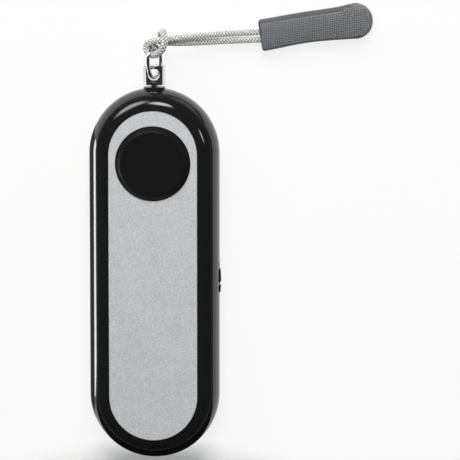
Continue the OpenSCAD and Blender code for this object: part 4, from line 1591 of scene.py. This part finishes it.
@dataclass(frozen=True)
class Studio:
    """Camera, floor, surroundings and lamps.

    The camera, the shade and the shade sheets are given in millimetres, the lamps and the card in metres. A
    shade sheet is a dark sheet that only the gloss sees, a painted reflection of shade, given by two corners
    and a tone.
    """

    target: Point = (22.013, 12.78, 8.5)
    lean_x: float = 2.966
    lean_y: float = 7.507
    distance: float = 1070.0
    frame_w: float = 134.349
    sensor: float = 36.0
    floor_glow: float = 0.82
    shade_glow: float = 0.22
    shade_y: float = -64.0
    shade_size: Flat = (50.0, 13.0)
    shade_full: float = 0.4
    horizon: Flat = (-0.02, 0.0)
    sky_glow: Flat = (0.15, 0.045)
    card_x: float = -0.095
    card_size: Flat = (0.08, 0.09)
    card_power: float = 0.2
    shade_sheet_z: float = 0.1
    aim: Point = (0.0, 0.02, 0.01)
    lamps: tuple[Lamp, ...] = (
        Lamp("key", 5.0, 57.5, 0.9, (0.5, 0.26), 2.9, (1.0, 0.985, 0.95)),
        Lamp("side", -31.0, 66.0, 0.9, (0.8, 0.34), 3.2, (1.0, 0.985, 0.95)),
        Lamp("glint", 72.0, 60.0, 0.9, (0.3, 0.09), 0.5),
        Lamp("soft", 4.0, 38.0, 0.75, (0.3, 0.3), 3.6, (1.0, 0.98, 0.955), in_gloss=False),
        Lamp("fill", 0.0, 8.0, 1.2, (1.4, 1.4), 4.5, (0.93, 0.98, 1.0), in_gloss=False),
    )
    # Painted reflected shade: dark sheets that only the gloss sees, each given by two corners and a tone.
    shade_sheets: tuple[tuple[Flat, Flat, float], ...] = (
        ((-48, -46), (-19.4, 44), 0.15),
        ((-300, -900), (300, -54.8), 0.012),
        ((95, -300), (600, 300), 0.012),
        ((-300, 130), (95, 600), 0.012),
        ((-600, -300), (-140, 600), 0.012),
    )

    def build_camera(self) -> None:
        """Sets the camera at the photograph's viewing angle."""
        lens = bpy.data.cameras.new("camera")
        lens.sensor_width = self.sensor
        lens.lens = self.sensor * self.distance / self.frame_w
        lens.clip_end = 50.0
        made = bpy.data.objects.new("camera", lens)
        leans = [math.tan(math.radians(lean)) for lean in (self.lean_x, self.lean_y)]
        back = Vector((*leans, 1)).normalized()
        across = Vector((0, 1, 0)).cross(back).normalized()
        turned = Matrix((across, back.cross(across), back)).transposed()
        made.location = (Vector(self.target) + back * self.distance) * MM
        made.rotation_euler = turned.to_euler()
        bpy.context.scene.collection.objects.link(made)
        bpy.context.scene.camera = made

    @staticmethod
    def matt(name: str, tone: float) -> NodeSheet:
        """A matt grey without gloss.

        Args:
            name: Name of the material.
            tone: How much light it throws back.

        Returns:
            The material's sheet.
        """
        sheet = NodeSheet(name)
        inputs = sheet.shader.inputs
        inputs["Base Color"].default_value = (tone, tone, tone, 1)
        inputs["Roughness"].default_value = 0.9
        inputs["Specular IOR Level"].default_value = 0.0
        return sheet

    def floor_material(self) -> bpy.types.Material:
        """A pale floor that the camera and the metal see as nearly white.

        Past the alarm's lower end it glows less, so that the shadow there shows.

        Returns:
            The floor's material.
        """
        sheet = self.matt("floor_pale", 0.95)
        glow = sheet.node("ShaderNodeEmission")
        path = sheet.node("ShaderNodeLightPath")
        seen = sheet.maths("MAXIMUM", path.outputs["Is Camera Ray"], path.outputs["Is Glossy Ray"])
        seen = sheet.maths("MAXIMUM", seen, path.outputs["Is Transmission Ray"])
        place = sheet.node("ShaderNodeNewGeometry")
        centred = sheet.node("ShaderNodeMapping")
        wide, deep = self.shade_size
        centred.inputs["Location"].default_value = (0, -self.shade_y / deep, 0)
        centred.inputs["Scale"].default_value = (1 / (wide * MM), 1 / (deep * MM), 0)
        sheet.link(place.outputs["Position"], centred.inputs["Vector"])
        shade = sheet.node("ShaderNodeTexGradient", gradient_type="SPHERICAL")
        sheet.link(centred.outputs["Vector"], shade.inputs["Vector"])
        glowing = sheet.ranged(
            shade.outputs["Fac"], self.floor_glow, self.shade_glow, 0.0, self.shade_full
        )
        share = sheet.maths("MULTIPLY", seen, glowing)
        mix = sheet.node("ShaderNodeMixShader")
        sheet.link(share, mix.inputs["Fac"])
        sheet.link(sheet.shader.outputs["BSDF"], mix.inputs[1])
        sheet.link(glow.outputs["Emission"], mix.inputs[2])
        output = next(node for node in sheet.tree.nodes if node.bl_idname == "ShaderNodeOutputMaterial")
        sheet.link(mix.outputs["Shader"], output.inputs["Surface"])
        return sheet.material

    def build_floor(self) -> None:
        """Lays the floor just under the alarm."""
        work = Workpiece()
        below = Matrix.Translation((0, 0, -0.00005))
        bmesh.ops.create_grid(work.bm, x_segments=1, y_segments=1, size=12.0, matrix=below)
        floor = work.blank("floor")
        floor.data.materials.append(self.floor_material())

    def build_world(self) -> None:
        """Dim surroundings, a little brighter under the horizon."""
        world = bpy.data.worlds.new("surroundings")
        world.use_nodes = True
        tree = world.node_tree
        tree.nodes.clear()
        coords = tree.nodes.new("ShaderNodeTexCoord")
        apart = tree.nodes.new("ShaderNodeSeparateXYZ")
        tree.links.new(coords.outputs["Generated"], apart.inputs["Vector"])
        level = tree.nodes.new("ShaderNodeMapRange")
        tree.links.new(apart.outputs["Z"], level.inputs["Value"])
        names = ("From Min", "From Max", "To Min", "To Max")
        for name, number in zip(names, (*self.horizon, *self.sky_glow)):
            level.inputs[name].default_value = number
        sky = tree.nodes.new("ShaderNodeBackground")
        tree.links.new(level.outputs["Result"], sky.inputs["Strength"])
        output = tree.nodes.new("ShaderNodeOutputWorld")
        tree.links.new(sky.outputs["Background"], output.inputs["Surface"])
        bpy.context.scene.world = world

    def build_card(self) -> None:
        """Lays a bright card on the floor at the left, which the case's edge mirrors as a streak."""
        light = bpy.data.lights.new("card", "AREA")
        light.shape = "RECTANGLE"
        light.size, light.size_y = self.card_size
        light.energy = self.card_power
        made = bpy.data.objects.new("card", light)
        made.location = (self.card_x, 0.0, 0.0003)
        made.rotation_euler = (math.pi, 0, 0)
        made.visible_camera = False
        bpy.context.scene.collection.objects.link(made)

    def build_shade_sheets(self) -> None:
        """Lays dark sheets round the alarm, which only its gloss mirrors: painted reflections of the floor's
        shade at the left and past the lower end, and of a darker floor further out.
        """
        for i, ((left, front), (right, back), tone) in enumerate(self.shade_sheets):
            corners = ((left, front), (right, front), (right, back), (left, back))
            work = Workpiece()
            work.face([(x, y, self.shade_sheet_z) for x, y in corners])
            shade_sheet = work.blank(f"shade_sheet_{i}")
            shade_sheet.data.transform(Matrix.Scale(MM, 4))
            shade_sheet.data.materials.append(self.matt(f"shade_sheet_{i}", tone).material)
            for ray in ("camera", "diffuse", "transmission", "volume_scatter", "shadow"):
                setattr(shade_sheet, f"visible_{ray}", False)

    def build(self) -> None:
        """Sets the floor, the surroundings and the lamps."""
        bpy.context.scene.view_settings.view_transform = "Standard"
        self.build_floor()
        self.build_world()
        self.build_card()
        self.build_shade_sheets()
        for lamp in self.lamps:
            lamp.build(Vector(self.aim))


def dress_kept_nodes(nodes: dict[str, bpy.types.Object]) -> None:
    """Gives the CAD nodes that stay their finishes.

    Args:
        nodes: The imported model's nodes by name.
    """
    for name, finish in KEPT_NODES.items():
        nodes[name].material_slots[0].material = finish.material()
        LOG.info("%s keeps its shape and gets %s", name, finish.name)


def main() -> None:
    """Builds the alarm round its frame and lights it."""
    logging.basicConfig(level=logging.INFO, format="%(name)s: %(message)s")
    for spare in list(bpy.data.objects):
        bpy.data.objects.remove(spare)
    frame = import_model()
    studio = Studio()
    studio.build_camera()
    assemblies: list[Callable[[], object]] = [
        PullCord().build, Case().build, BatteryBay().build, PullPin().build, PullTab().build, studio.build,
    ]
    for assemble in assemblies:
        assemble()
    dress_kept_nodes(frame["nodes"])


if __name__ == "__main__":
    main()
